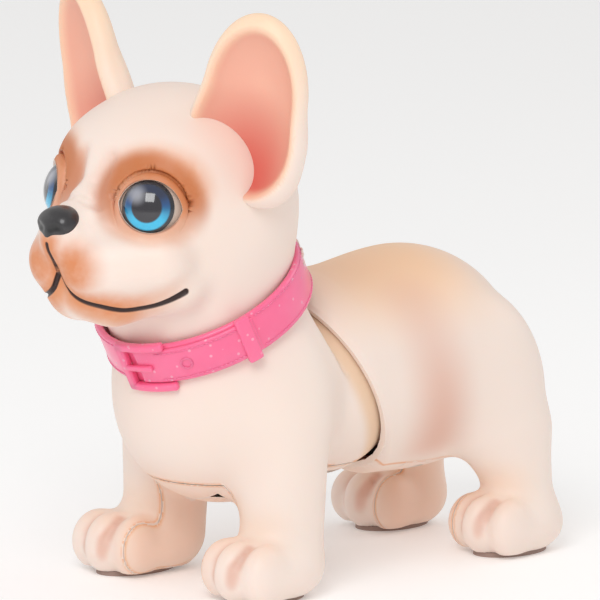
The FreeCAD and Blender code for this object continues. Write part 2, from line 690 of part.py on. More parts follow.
def eye_parts():
    """Eyeball, iris and clear cornea of the +X eye, together one full ball."""
    aim = V(EYE_AIM).normalize()
    whole = ball(EYE, EYE_R)
    ball_cut = half_space(EYE + aim * IRIS_PLANE, aim)
    cornea = whole.common(half_space(EYE + aim * (IRIS_PLANE + IRIS_THICKNESS), aim))
    disc = rod(EYE + aim * IRIS_PLANE, EYE + aim * (IRIS_PLANE + IRIS_THICKNESS), IRIS_R)
    return whole.cut(ball_cut), disc.common(whole), cornea


def ear():
    """A cupped leaf-shaped ear on the +X side, its hollow facing ahead and outwards."""
    half_width, half_height = EAR_SIZE
    middle = EAR_BACK - EAR_BEND_R
    sheet = tube(V(0, middle, -half_height), V(0, middle, half_height), EAR_BEND_R, EAR_BEND_R - EAR_WALL)
    outline = Part.Ellipse(V(0, 0, half_height), V(half_width, 0, 0), V(0, 0, 0))
    leaf = Part.Face(Part.Wire(outline.toShape())).extrude(V(0, EAR_DEPTH, 0))
    leaf.translate(V(0, EAR_BACK + 0.5 - EAR_DEPTH, 0))
    cup = sheet.common(leaf)
    cup.rotate(V(0, 0, 0), V(0, 1, 0), EAR_SPLAY)
    cup.rotate(V(0, 0, 0), V(1, 0, 0), EAR_LEAN)
    cup.rotate(V(0, 0, 0), UP, EAR_TURN)
    cup.translate(EAR)
    return max(cup.cut(ball(SKULL, SKULL_R)).Solids, key=lambda solid: solid.Volume)


def nose(outside):
    return ellipsoid(NOSE, NOSE_RADII).cut(outside)


def paw_pad(paw, radii):
    """A rubber sole, flat on the floor and flush with the bottom of the paw."""
    sole = ellipsoid(at(paw, z=0), (radii[0] * 0.62, radii[1] * 0.72, 8.0))
    return sole.common(block(V(-FAR, -FAR, 0), V(FAR, FAR, PAD_THICKNESS)))


def build():
    os.makedirs("parts", exist_ok=True)
    front, front_cover, door, front_leg_screws = front_shells()
    rear, rear_cover, rear_leg_screws = rear_shells()
    face, back, head_outside = head_shells()
    eyeball, iris, cornea = eye_parts()
    save("front_shell", front)
    save("front_belly_cover", front_cover)
    save("battery_door", door)
    save("battery_door_screw", screw(DOOR_SCREW, UP, DOOR_SCREW_LENGTH))
    save("battery_tray", battery_tray())
    save("front_leg_screws", *front_leg_screws)
    save("batteries", *cells())
    save("battery_contacts", *battery_contacts())
    save("motor", motor())
    save("motor_shaft", motor_shaft())
    save("motor_pinion", motor_pinion())
    save("reducer_gear", reducer())
    plates_top = PLATE_HIGH + PLATE_THICKNESS
    save("reducer_axle", rod(V(0, REDUCER_Y, PLATE_LOW), V(0, REDUCER_Y, plates_top), AXLE_R))
    save("waist_pin", rod(at(WAIST, z=PLATE_LOW), at(WAIST, z=plates_top), PIN_R))
    save("gearbox_frame", gearbox_frame())
    save("gearbox_cover", gearbox_cover())
    save("gearbox_screws", *gearbox_screws())
    save("circuit_board", circuit_board())
    save("board_components", *board_parts())
    save("neck_post", neck_post())
    save("collar_strap", collar_strap())
    save("collar_tongue", collar_tongue())
    save("collar_buckle", collar_buckle())
    save("buckle_prong", buckle_prong())
    save("collar_keeper", collar_keeper())
    save("collar_rivet", collar_rivet())
    save("rear_shell", rear)
    save("rear_belly_cover", rear_cover)
    save("rear_leg_screws", *rear_leg_screws)
    save("drive_arm", drive_arm())
    save("hip_frame", hip_frame())
    save("arm_screws", *arm_screws())
    save("rear_cover_screws", *rear_cover_screws())
    save("speaker", speaker())
    save("switch_body", switch_body())
    save("switch_knob", switch_knob())
    save("face_shell", face)
    save("head_back_shell", back)
    save("head_base", head_base())
    save("neck_washer", neck_washer())
    save("neck_screw", neck_screw())
    save("head_screws", *head_screws())
    save("nose", nose(head_outside))
    left_ear = ear()
    pads = (("front", FORE_PAW, FORE_PAW_RADII), ("rear", HIND_PAW, HIND_PAW_RADII))
    for side, place in (("left", lambda shape: shape), ("right", mirrored)):
        save(side + "_ear", place(left_ear))
        save(side + "_eyeball", place(eyeball))
        save(side + "_iris", place(iris))
        save(side + "_cornea", place(cornea))
        for end, paw, radii in pads:
            save(side + "_" + end + "_paw_pad", place(paw_pad(paw, radii)))


build()
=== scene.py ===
import bpy, bmesh, json, math
import numpy as np
from mathutils import Matrix, Vector


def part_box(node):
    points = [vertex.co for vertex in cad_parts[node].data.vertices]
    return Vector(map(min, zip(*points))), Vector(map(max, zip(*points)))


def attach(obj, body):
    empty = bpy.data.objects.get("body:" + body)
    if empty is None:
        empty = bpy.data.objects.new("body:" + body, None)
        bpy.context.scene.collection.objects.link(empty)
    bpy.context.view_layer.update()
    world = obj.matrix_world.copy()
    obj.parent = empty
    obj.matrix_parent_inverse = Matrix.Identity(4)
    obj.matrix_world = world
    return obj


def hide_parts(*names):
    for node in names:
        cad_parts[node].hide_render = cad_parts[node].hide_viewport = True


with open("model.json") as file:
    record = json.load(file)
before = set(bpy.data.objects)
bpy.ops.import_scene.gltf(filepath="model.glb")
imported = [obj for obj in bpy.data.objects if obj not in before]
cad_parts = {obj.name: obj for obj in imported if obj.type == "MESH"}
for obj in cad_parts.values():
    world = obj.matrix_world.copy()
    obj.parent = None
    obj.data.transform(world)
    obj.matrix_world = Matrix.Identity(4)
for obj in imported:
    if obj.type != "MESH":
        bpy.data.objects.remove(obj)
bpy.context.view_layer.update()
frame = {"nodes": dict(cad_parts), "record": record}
joints = {joint["name"]: joint for joint in frame["record"]["behaviour"]["joints"]}
mm = 0.001  # shapes are worked out in millimetres and stored in metres


# places taken from the frame
def corners(node):
    low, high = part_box(node)
    return np.array(low) / mm, np.array(high) / mm


def middle(node):
    low, high = corners(node)
    return (low + high) / 2


waist = np.array(joints["waist_swing"]["pos_m"]) / mm
neck = np.array(joints["neck_turn"]["pos_m"]) / mm
neckUp = np.array(joints["neck_turn"]["axis"])
neckBack = np.array([0.0, neckUp[2], -neckUp[1]])
faceLow, faceHigh = corners("face_shell")
skullRadius = faceHigh[0]
skull = np.array([0.0, corners("head_back_shell")[1][1] - skullRadius, faceHigh[2] - skullRadius])
eyeBall = middle("left_eyeball")
eyeRadius = (corners("left_eyeball")[1][2] - corners("left_eyeball")[0][2]) / 2
eyeAim = middle("left_iris") - eyeBall
eyeAim = eyeAim / np.linalg.norm(eyeAim)
noseMid = middle("nose")
forePad = middle("left_front_paw_pad")
hindPad = middle("left_rear_paw_pad")


# ---- camera and studio
studio = {"azimuth": 48.0, "elevation": 11.0, "distance": 6.0, "frameWidth": 0.204,
          "target": (0.0, 0.01295, 0.09207), "key": 5.2, "fill": 0.9, "rim": 1.6, "sky": 0.66}


def aimed(kind, data, place, target):
    thing = bpy.data.objects.new(kind, data)
    bpy.context.scene.collection.objects.link(thing)
    thing.location = place
    thing.rotation_euler = (Vector(target) - Vector(place)).to_track_quat("-Z", "Y").to_euler()
    return thing


def setStudio():
    azimuth, elevation = math.radians(studio["azimuth"]), math.radians(studio["elevation"])
    away = Vector((math.cos(elevation) * math.sin(azimuth), -math.cos(elevation) * math.cos(azimuth),
                   math.sin(elevation)))
    target = Vector(studio["target"])
    lens = bpy.data.cameras.new("camera")
    lens.sensor_width = 36.0
    lens.lens = 36.0 * studio["distance"] / studio["frameWidth"]
    lens.clip_end = 20.0
    bpy.context.scene.camera = aimed("camera", lens, target + away * studio["distance"], target)
    lamps = (("key", (0.55, -0.75, 0.85), 0.55), ("fill", (-0.95, -0.45, 0.45), 0.9), ("rim", (0.35, 0.95, 0.75), 0.7))
    for name, place, size in lamps:
        light = bpy.data.lights.new(name, "AREA")
        light.size = size
        light.energy = studio[name]
        aimed(name, light, place, (0, 0, 0.09))
    world = bpy.data.worlds.new("sky")
    bpy.context.scene.world = world
    world.use_nodes = True
    world.node_tree.nodes["Background"].inputs["Color"].default_value = (1.0, 0.99, 0.98, 1)
    world.node_tree.nodes["Background"].inputs["Strength"].default_value = studio["sky"]
    bpy.context.scene.view_settings.view_transform = "Standard"
    shape = bmesh.new()
    bmesh.ops.create_grid(shape, x_segments=1, y_segments=1, size=6.0)
    floor = stored("floor", shape)
    floor.data.materials.append(floorPaint())
    print("studio set")


# ---- shader maths
class Value:
    """A socket that takes part in Python sums."""
    def __init__(self, paint, socket):
        self.paint, self.socket = paint, socket

    def sum(self, operation, *others, clamp=False):
        return self.paint.node("ShaderNodeMath", {"operation": operation, "use_clamp": clamp}, self, *others)

    def __add__(self, other):
        return self.sum("ADD", other)

    def __sub__(self, other):
        return self.sum("SUBTRACT", other)

    def __rsub__(self, other):
        return self.paint.node("ShaderNodeMath", {"operation": "SUBTRACT"}, other, self)

    def __mul__(self, other):
        return self.sum("MULTIPLY", other)

    def __truediv__(self, other):
        return self.sum("DIVIDE", other)

    def __pow__(self, other):
        return self.sum("POWER", other)

    def clamped(self):
        return self.sum("MULTIPLY", 1.0, clamp=True)

    __radd__, __rmul__ = __add__, __mul__


class Paint:
    """One material and its nodes."""
    def __init__(self, name):
        self.material = bpy.data.materials.new(name)
        self.material.use_nodes = True
        self.tree = self.material.node_tree
        self.shader = self.tree.nodes["Principled BSDF"]
        self.place = self.node("ShaderNodeTexCoord", {}, output="Object")

    def plug(self, socket, value):
        if isinstance(value, Value):
            self.tree.links.new(value.socket, socket)
        elif isinstance(value, (tuple, list)) and socket.type == "RGBA" and len(value) == 3:
            socket.default_value = (*value, 1.0)
        else:
            socket.default_value = value

    def node(self, kind, settings, *values, output=0, **named):
        made = self.tree.nodes.new(kind)
        for key, value in settings.items():
            if key == "stops":
                while len(made.color_ramp.elements) < len(value):
                    made.color_ramp.elements.new(0.5)
                for element, (position, colour) in zip(made.color_ramp.elements, value):
                    element.position = position
                    element.color = (*colour, 1.0)
            else:
                setattr(made, key, value)
        for index, value in enumerate(values):
            self.plug(made.inputs[index], value)
        for key, value in named.items():
            self.plug(made.inputs[key], value)
        return Value(self, made.outputs[output])

    def attribute(self, name):
        return self.node("ShaderNodeAttribute", {"attribute_name": name}, output="Fac")

    def noise(self, scale, detail=3.0, rough=0.5):
        return self.node("ShaderNodeTexNoise", {}, Vector=self.place, Scale=scale, Detail=detail, Roughness=rough,
                         output="Fac")

    def blend(self, factor, one, two, way="MIX"):
        made = self.tree.nodes.new("ShaderNodeMix")
        made.data_type = "RGBA"
        made.blend_type = way
        self.plug(made.inputs[0], factor)
        self.plug(made.inputs[6], one)
        self.plug(made.inputs[7], two)
        return Value(self, made.outputs[2])

    def ramp(self, value, low, high):
        return self.node("ShaderNodeMapRange", {"clamp": True, "interpolation_type": "SMOOTHSTEP"}, value, low, high,
                         0.0, 1.0)

    def bump(self, height, distance, strength=1.0):
        return self.node("ShaderNodeBump", {}, Height=height, Distance=distance, Strength=strength)

    def coat(self, **named):
        for key, value in named.items():
            self.plug(self.shader.inputs[key], value)
        return self.material


def floorPaint():
    paint = Paint("floor")
    tone = paint.blend(paint.noise(3.0), (0.93, 0.93, 0.93), (0.95, 0.95, 0.95))
    return paint.coat(**{"Base Color": tone, "Roughness": 0.6, "Emission Color": (1.0, 1.0, 1.0), "Emission Strength": 0.14})


# ---- shapes: distances in millimetres, negative inside
def egg(centre, radii, turn=None):
    centre, radii = np.array(centre, float), np.array(radii, float)

    def distance(points):
        local = points - centre
        if turn is not None:
            local = local @ turn
        near = np.sqrt(((local / radii) ** 2).sum(1)) + 1e-9
        steep = np.sqrt(((local / radii ** 2) ** 2).sum(1)) + 1e-9
        return near * (near - 1.0) / steep
    distance.seed = (centre, radii, turn)
    return distance


def limb(start, end, startRadius, endRadius):
    start, end = np.array(start, float), np.array(end, float)
    along = end - start

    def distance(points):
        share = np.clip(((points - start) @ along) / (along @ along), 0.0, 1.0)
        nearest = start + share[:, None] * along
        return np.linalg.norm(points - nearest, axis=1) - (startRadius + (endRadius - startRadius) * share)
    distance.seed = (start, end, startRadius, endRadius)
    return distance


def strand(points, radii):
    pieces = [limb(a, b, ra, rb) for a, b, ra, rb in zip(points[:-1], points[1:], radii[:-1], radii[1:])]

    def distance(places):
        return np.min([piece(places) for piece in pieces], axis=0)
    return distance


def curved(points, steps=8):
    # more points along the smooth curve through a few
    points = [np.array(point, float) for point in points]
    ends = [2 * points[0] - points[1]] + points + [2 * points[-1] - points[-2]]
    path = []
    for a, b, c, d in zip(ends[:-3], ends[1:-2], ends[2:-1], ends[3:]):
        for share in np.arange(steps) / steps:
            path.append(b + 0.5 * share * (c - a + share * (2 * a - 5 * b + 4 * c - d + share * (3 * (b - c) + d - a))))
    return path + [points[-1]]


def spread(values, count):
    # a few radii spread along the points of a curve
    return list(np.interp(np.linspace(0, len(values) - 1, count), range(len(values)), values))


def slab(point, normal):
    """Everything on the side of a plane that the normal points away from."""
    point, normal = np.array(point, float), np.array(normal, float)
    return lambda points: (points - point) @ normal


def merged(one, two, width):
    share = np.clip(0.5 + 0.5 * (two - one) / width, 0.0, 1.0)
    return two + (one - two) * share - width * share * (1.0 - share)


def carved(body, cutter, width):
    return -merged(-body, cutter, width)


def both(shape):
    """A shape and its mirror image across the toy's middle."""
    def distance(points):
        folded = points.copy()
        folded[:, 0] = np.abs(folded[:, 0])
        return shape(folded)
    if hasattr(shape, "seed"):
        distance.seed, distance.mirrored = shape.seed, True
    return distance


def turnAbout(axis, degrees):
    return np.array(Matrix.Rotation(math.radians(degrees), 3, Vector(axis)))


def stored(name, shape):
    mesh = bpy.data.meshes.new(name)
    shape.to_mesh(mesh)
    shape.free()
    thing = bpy.data.objects.new(name, mesh)
    bpy.context.scene.collection.objects.link(thing)
    return thing


def applied(thing):
    """The same object with its modifiers made real."""
    bpy.context.view_layer.update()
    solid = bpy.data.meshes.new_from_object(thing.evaluated_get(bpy.context.evaluated_depsgraph_get()))
    old = thing.data
    thing.modifiers.clear()
    thing.data = solid
    bpy.data.meshes.remove(old)
    return thing


def seedMesh(name, shapes, voxel, swell):
    # a rough skin round all the shapes, of even square faces
    rough = bmesh.new()
    for shape in shapes:
        sides = (1, -1) if getattr(shape, "mirrored", False) else (1,)
        for side in sides:
            flip = Matrix.Diagonal(Vector((side, 1, 1, 1)))
            if len(shape.seed) == 3:
                centre, radii, turn = shape.seed
                turned = Matrix(turn).to_4x4() if turn is not None else Matrix.Identity(4)
                place = flip @ Matrix.Translation(Vector(centre)) @ turned @ Matrix.Diagonal(Vector((*(radii + swell), 1)))
                bmesh.ops.create_icosphere(rough, subdivisions=4, radius=1.0, matrix=place)
            else:
                start, end, startRadius, endRadius = shape.seed
                along = Vector(end - start)
                turned = along.to_track_quat("Z", "Y").to_matrix().to_4x4()
                for spot, radius in ((start, startRadius), (end, endRadius)):
                    ball = flip @ Matrix.Translation(Vector(spot)) @ Matrix.Scale(radius + swell, 4)
                    bmesh.ops.create_icosphere(rough, subdivisions=3, radius=1.0, matrix=ball)
                rod = flip @ Matrix.Translation(Vector((start + end) / 2)) @ turned
                bmesh.ops.create_cone(rough, cap_ends=True, segments=48, radius1=startRadius + swell,
                                      radius2=endRadius + swell, depth=along.length, matrix=rod)
    bmesh.ops.recalc_face_normals(rough, faces=rough.faces)
    thing = stored(name, rough)
    remesh = thing.modifiers.new("even", "REMESH")
    remesh.mode, remesh.voxel_size, remesh.adaptivity = "VOXEL", voxel, 0.0
    return applied(thing)


def settle(points, field, level, rounds):
    """Moves points onto the surface where the field has that level."""
    step = 0.05
    for _ in range(rounds):
        value = field(points)
        slope = np.stack([(field(points + step * axis) - value) / step for axis in np.eye(3)], axis=1)
        size = np.maximum((slope ** 2).sum(1), 0.15)
        move = (level - value) / size
        points = points + np.clip(move, -2.5, 2.5)[:, None] * slope
    return points


def onSkin(field, *spots):
    return list(settle(np.array(spots, float), field, -0.15, 8))


def readPoints(mesh):
    flat = np.empty(len(mesh.vertices) * 3)
    mesh.vertices.foreach_get("co", flat)
    return flat.reshape(-1, 3)


def writePoints(mesh, points):
    mesh.vertices.foreach_set("co", points.ravel())
    mesh.update()


def evened(mesh, points, field, rounds):
    """Slides points along the skin so that its faces stay even."""
    ends = np.empty(len(mesh.edges) * 2, int)
    mesh.edges.foreach_get("vertices", ends)
    ends = ends.reshape(-1, 2)
    count = np.bincount(ends.ravel(), minlength=len(points))[:, None]
    for _ in range(rounds):
        total = np.zeros_like(points)
        np.add.at(total, ends[:, 0], points[ends[:, 1]])
        np.add.at(total, ends[:, 1], points[ends[:, 0]])
        points = settle(points + 0.5 * (total / count - points), field, 0.0, 1)
    return points


def skin(name, shapes, field, voxel, wall=None, hollow=None, swell=0.8, scoops=()):
    # a sculpted piece: a rough skin pulled onto the field, with an inner wall where one is asked for
    thing = seedMesh(name, shapes, voxel, swell)
    if scoops:
        scoop = seedMesh("scoop", scoops, voxel, 0.0)
        thing = cut(thing, scoop, "DIFFERENCE")
        dropped(scoop)
        remesh = thing.modifiers.new("even", "REMESH")
        remesh.mode, remesh.voxel_size = "VOXEL", voxel
        thing = applied(thing)
    mesh = thing.data
    points = settle(readPoints(mesh), field, 0.0, 5)
    points = evened(mesh, points, field, 4)
    points = settle(points, field, 0.0, 2)
    writePoints(mesh, points)
    if wall:
        room = skin("room", shapes, lambda points: (hollow or field)(points) + wall, voxel * 1.8, swell=-wall)
        thing = cut(thing, room, "DIFFERENCE")
        dropped(room)
    print(name, len(thing.data.vertices), "points")
    return thing


def refined(thing, near, field, rounds=2):
    # a finer mesh where near is below zero, pulled back onto the field
    for _ in range(rounds):
        shape = bmesh.new()
        shape.from_mesh(thing.data)
        shape.verts.index_update()
        close = near(readPoints(thing.data)) < 0
        edges = [edge for edge in shape.edges if close[edge.verts[0].index] and close[edge.verts[1].index]]
        bmesh.ops.subdivide_edges(shape, edges=edges, cuts=1, use_grid_fill=True)
        bmesh.ops.triangulate(shape, faces=[face for face in shape.faces if len(face.verts) > 4])
        shape.to_mesh(thing.data)
        shape.free()
    points = readPoints(thing.data)
    touched = near(points) < 0
    points[touched] = settle(points[touched], field, 0.0, 3)
    writePoints(thing.data, points)
    return thing


def crate(name, low, high):
    shape = bmesh.new()
    bmesh.ops.create_cube(shape, size=1.0)
    low, high = Vector(low), Vector(high)
    bmesh.ops.scale(shape, vec=high - low, verts=shape.verts)
    bmesh.ops.translate(shape, vec=(low + high) / 2, verts=shape.verts)
    return stored(name, shape)


def cut(thing, cutter, way, name=None):
    """thing with a cutter taken away, or only what lies inside it, as a new piece when it is named."""
    if name:
        copy = thing.copy()
        copy.data = thing.data.copy()
        copy.name = name
        bpy.context.scene.collection.objects.link(copy)
        thing = copy
    change = thing.modifiers.new("cut", "BOOLEAN")
    change.object, change.operation, change.solver = cutter, way, "EXACT"
    return applied(thing)


def dropped(*things):
    for thing in things:
        bpy.data.objects.remove(thing)


def finished(thing, material, body, nodes=(), smooth=True, angle=None):
    """Scales a piece to metres, gives it its finish and its place in the frame."""
    mesh = thing.data
    writePoints(mesh, readPoints(mesh) * mm)
    mesh.materials.clear()
    mesh.materials.append(material)
    if smooth:
        mesh.shade_smooth()
        if angle:
            mesh.set_sharp_from_angle(angle=math.radians(angle))
    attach(thing, body)
    if nodes:
        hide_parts(*nodes)
    return thing


def masked(thing, **fields):
    """Stores soft masks for the airbrushed colours and for painted shade and highlights, one number at each point."""
    points = readPoints(thing.data)
    for name, field in fields.items():
        values = np.clip(field(points), 0.0, 1.0).astype(np.float32)
        thing.data.attributes.new(name, "FLOAT", "POINT").data.foreach_set("value", values)


def soft(distance, near, far):
    """1 nearer than near, 0 beyond far, smooth between."""
    share = np.clip((far - distance) / (far - near), 0.0, 1.0)
    return share * share * (3 - 2 * share)


# ---- head: one skin, with the neck and eye openings cut out
headSizes = {"voxel": 0.9, "wall": 2.0, "forehead": (34.0, 31.0, 30.0), "brow": 15.0, "lobe": 12.6, "chin": (18.0, 13.5, 9.0),
             "eyeGap": 0.2, "lid": 0.9}
mouthLine = [(0, 2.0, -16.2), (3.5, 3.6, -20.2), (9, 7.2, -25.4), (17, 15.2, -28.9), (24, 23.0, -27.8), (30.0, 30.4, -23.0)]


def eyeFrame():
    """Columns: outwards along the lid, up, and the way the eye looks."""
    across = np.cross((0, 0, 1), eyeAim)
    across = across / np.linalg.norm(across)
    return np.stack([across, np.cross(eyeAim, across), eyeAim], axis=1)


def lidOpening(points):
    """The almond between the lids, as a distance across the eye's own plane."""
    local = (points - eyeBall) @ eyeFrame()
    over = np.hypot(local[:, 0] - 0.5, local[:, 1] + 1.9) - 11.2
    under = np.hypot(local[:, 0] - 0.9, local[:, 1] - 2.6) - 11.2
    across = merged(-over, -under, 3.0) * -1.0
    return np.maximum(across, -local[:, 2])


def eyeCutters(side):
    # the opening between the lids, where two round lids cross, and the ball's socket
    discs = []
    for across, up in ((0.5, -1.9), (0.9, 2.6)):
        shape = bmesh.new()
        bmesh.ops.create_cone(shape, cap_ends=True, segments=128, radius1=11.2, radius2=11.2, depth=24.0,
                              matrix=Matrix.Translation((across, up, 12.0)))
        discs.append(stored("disc", onEye(shape)))
    slit = cut(discs[0], discs[1], "INTERSECT")
    dropped(discs[1])
    shape = bmesh.new()
    bmesh.ops.create_uvsphere(shape, u_segments=96, v_segments=64, radius=eyeRadius + headSizes["eyeGap"])
    cutters = [slit, stored("socket", onEye(shape))]
    return [mirroredPiece(thing) for thing in cutters] if side == "right" else cutters


def makeHead():
    size = headSizes
    forehead = egg(skull + (0, -9.6, 9.2), size["forehead"])
    ball = egg(skull, (skullRadius,) * 3)
    brows = both(egg(skull + (17.0, -18.4, 12.2), (size["brow"],) * 3))
    lobes = both(limb(noseMid + (8.0, 11.4, -15.2), noseMid + (23.0, 26.0, -13.0), size["lobe"], 11.0))
    snout = limb(noseMid + (0, 5.0, -5.5), skull + (0, -22.0, 2.0), 9.6, 16.0)
    chin = egg(noseMid + (0, 17.0, -27.0), size["chin"])
    jaws = both(limb(noseMid + (9.0, 18.0, -27.5), noseMid + (24.0, 33.0, -22.5), 9.0, 8.0))
    throat = limb(neck + neckUp * 7.0, skull, 33.2, 33.6)
    lids = both(egg(eyeBall, (eyeRadius + size["lid"],) * 3))
    seeds = [forehead, ball, brows, lobes, snout, chin, jaws, throat, lids]
    opening = both(lidOpening)

    def smooth(points):
        body = merged(ball(points), forehead(points), 10.0)
        body = merged(body, brows(points), 9.0)
        body = merged(body, throat(points), 8.0)
        body = merged(body, snout(points), 11.0)
        body = merged(body, merged(chin(points), jaws(points), 4.0), 7.0)
        return merged(body, lobes(points), 4.5)

    def lidded(points):
        return merged(smooth(points), lids(points), 4.0)

    lips = onSkin(smooth, *curved([noseMid + np.array(spot) for spot in mouthLine]))
    lip = both(strand(lips, spread([0.75, 0.7, 0.65, 0.55, 0.65, 1.0], len(lips))))
    furrow = onSkin(smooth, *curved([noseMid + (0, -1.0, -6.5), noseMid + (0, 0.0, -11.5), noseMid + np.array(mouthLine[0])]))
    groove = strand(furrow, spread([0.5, 0.55, 0.7], len(furrow)))

    def line(points):
        return np.minimum(lip(points), groove(points))

    ruts = both(strand(onSkin(smooth, skull + (7.0, -38.0, 21.0), skull + (5.2, -41.5, 13.0), skull + (6.5, -42.5, 6.0)),
                       [1.2, 2.2, 1.0]))
    folds = both(strand(onSkin(smooth, noseMid + (10.0, 10.0, 5.5), noseMid + (6.0, 8.0, 7.5), noseMid + (1.0, 8.0, 8.2)),
                        [0.8, 1.2, 0.8]))

    @both
    def lidFold(points):
        local = (points - eyeBall) @ eyeFrame()
        ring = np.abs(np.hypot(local[:, 0] - 0.6, local[:, 1] + 0.4) - 12.6)
        return np.maximum(ring - 0.5 * np.clip((local[:, 1] - 1.0) / 6.0, -2.0, 1.0), -local[:, 2])

    around = both(lambda points: np.linalg.norm(points - eyeBall, axis=1))

    def detailed(points):
        body = carved(lidded(points), lidFold(points), 1.2)
        body = carved(body, ruts(points) + 1.0, 5.0)
        body = carved(body, folds(points) + 0.5, 2.4)
        return carved(body, line(points), 0.7)

    head = skin("head", seeds, detailed, size["voxel"])
    head = refined(head, lambda p: np.minimum(np.minimum(line(p), lidFold(p)) - 2.2, np.abs(opening(p)) + around(p) - 16.0),
                   detailed)
    upper = both(lambda points: np.linalg.norm((points - eyeBall - (2.0, 0.0, 6.5)) / (1.15, 1.0, 0.85), axis=1))
    inner = both(lambda points: np.linalg.norm(points - eyeBall - (-8.5, -7.0, 2.0), axis=1))
    under = both(strand([noseMid + np.array(spot) + (-2.0, 1.0, -4.0) for spot in mouthLine[1:4]], [0.0] * 3))
    cheek = both(lambda points: np.linalg.norm(points - noseMid - (8.5, 0.0, -15.0), axis=1) - 3.0)
    masked(head,
           mouth=lambda p: soft(line(p), 0.05, 0.55),
           eyeRing=lambda p: np.maximum(soft(upper(p), 11.0, 21.0), 0.75 * soft(around(p), 12.0, 20.0)),
           eyeDark=lambda p: np.maximum(soft(np.abs(around(p) - 16.4), 1.0, 5.4) * soft(-(p - eyeBall)[:, 2], -5.0, 12.0),
                                        soft(inner(p), 2.0, 9.0)),
           lidTone=lambda p: soft(around(p), 12.6, 14.0),
           lidEdge=lambda p: soft(np.abs(opening(p)), 0.1, 0.9) * soft(around(p), 13.0, 14.0),
           jowl=lambda p: np.maximum(soft(line(p), 0.5, 9.0) * soft(p[:, 1], noseMid[1] + 12.0, noseMid[1] + 34.0),
                                     soft(cheek(p), 0.0, 11.0)),
           chinTone=lambda p: soft(under(p), 1.0, 9.0),
           # painted shade in the forehead wrinkles
           rutTone=lambda p: soft(ruts(p), 0.0, 4.5))
    hole = crate("hole", (-60, -60, -60), (60, 60, 0))
    hole.data.transform(Matrix.Translation(Vector(neck + neckUp * 0.8)) @ Vector(neckUp).to_track_quat("Z", "Y").to_matrix().to_4x4())
    head = cut(head, hole, "DIFFERENCE")
    dropped(hole)
    for side in ("left", "right"):
        for cutter in eyeCutters(side):
            head = cut(head, cutter, "DIFFERENCE")
            dropped(cutter)
    return head


# ---- ears: cups with a rounded rim
earSizes = {"voxel": 0.7, "turn": 20.0, "lean": 6.0, "splay": 12.0}


def makeEar(side):
    low, high = corners("left_ear")
    spot = (low + high) / 2
    turn = turnAbout((0, 0, 1), earSizes["turn"]) @ turnAbout((1, 0, 0), earSizes["lean"])
    turn = turn @ turnAbout((0, 1, 0), earSizes["splay"])

    def place(a, b, c):
        return spot + turn @ np.array((a, b, c), float)
    shapes = [egg(place(-0.5, 0, 3), (19.5, 8.5, 30.5), turn), egg(place(-2.0, 1.0, -13), (22.0, 9.5, 20.0), turn),
              egg(place(6.5, 1.0, -23), (11.0, 8.0, 11.0), turn)]
    hollows = [egg(place(-0.4, -8.5, 2.0), (17.0, 13.0, 28.0), turn), egg(place(-2.5, -8.5, -13), (19.0, 13.6, 18.0), turn)]

    def outside(points):
        body = merged(shapes[0](points), shapes[1](points), 7.0)
        return merged(body, shapes[2](points), 6.0)

    def inside(points):
        return merged(hollows[0](points), hollows[1](points), 6.0)

    def cup(points):
        body = carved(outside(points), inside(points), 2.2)
        return np.maximum(body, -np.linalg.norm(points - skull, axis=1) + skullRadius - 1.2)

    ear = skin(side + "Ear", shapes, cup, earSizes["voxel"], swell=0.0, scoops=hollows)
    foot = place(-2.0, -3.0, -26.0)
    masked(ear,
           innerEar=lambda p: soft(inside(p), 0.3, 1.8),
           rootTone=lambda p: soft(np.linalg.norm((p - foot) @ turn / (1.0, 1.0, 1.5), axis=1), 6.0, 25.0),
           tipTone=lambda p: soft(high[2] - p[:, 2], 0.0, 52.0),
           rimTone=lambda p: soft(np.abs(inside(p)) + np.abs(outside(p)) * 0.6, 0.4, 3.2))
    if side == "right":
        shape = bmesh.new()
        shape.from_mesh(ear.data)
        bmesh.ops.scale(shape, vec=(-1, 1, 1), verts=shape.verts)
        bmesh.ops.reverse_faces(shape, faces=shape.faces)
        shape.to_mesh(ear.data)
        shape.free()
    return ear


# ---- front half
frontSizes = {"voxel": 1.0, "wall": 2.0, "chest": (34.0, 30.0, 34.0), "dome": 33.5, "leg": 14.2, "toe": (6.9, 9.8, 10.4),
              "paw": (15.0, 18.5, 10.5)}


def pawShapes(pad, legFoot, size, legRadius):
    """A paw's pieces on the +X side: its body, its toes and the clefts between them."""
    paw = egg(pad + (0, 1.5, 9.6), size["paw"])
    toes, clefts = [], []
    for step in (-1.0, 0.0, 1.0):
        turn = turnAbout((0, 0, 1), step * 12.0)
        toes.append(egg(pad + (step * 9.4, -11.2 + 3.0 * step * step, 9.9 - 0.5 * step * step), size["toe"], turn))
    toes.append(egg(pad + (0, 0.5, 7.4), (size["paw"][0] + 1.2, size["paw"][1] + 0.8, 9.0)))
    for step in (-0.5, 0.5):
        clefts.append(strand([pad + (step * 10.8, -21.5, 4.0), pad + (step * 10.4, -19.0, 12.5), pad + (step * 9.0, -10.5, 18.5)],
                             [0.9, 1.0, 0.4]))
    return paw, toes, clefts


def pawField(points, leg, paw, toes, clefts):
    body = merged(leg(points), paw(points), 7.0)
    row = toes[0](points)
    for toe in toes[1:3]:
        row = merged(row, toe(points), 1.8)
    body = merged(merged(body, toes[3](points), 3.0), row, 3.0)
    for cleft in clefts:
        body = carved(body, cleft(points) + 0.5, 1.6)
    return np.maximum(body, 1.6 - points[:, 2])


def folded(field):
    def distance(points):
        half = points.copy()
        half[:, 0] = np.abs(half[:, 0])
        return field(half)
    return distance


def seamAway(node, points):
    # how far a point is from the parting line round a belly cover
    low, high = corners(node)
    side = np.abs(np.abs(points[:, 0]) - high[0])
    top = np.abs(points[:, 2] - min(high[2], 38.0))
    away = np.where(points[:, 2] < min(high[2], 38.0), side, 9.0)
    return np.minimum(away, np.where(np.abs(points[:, 0]) < high[0], top, 9.0))


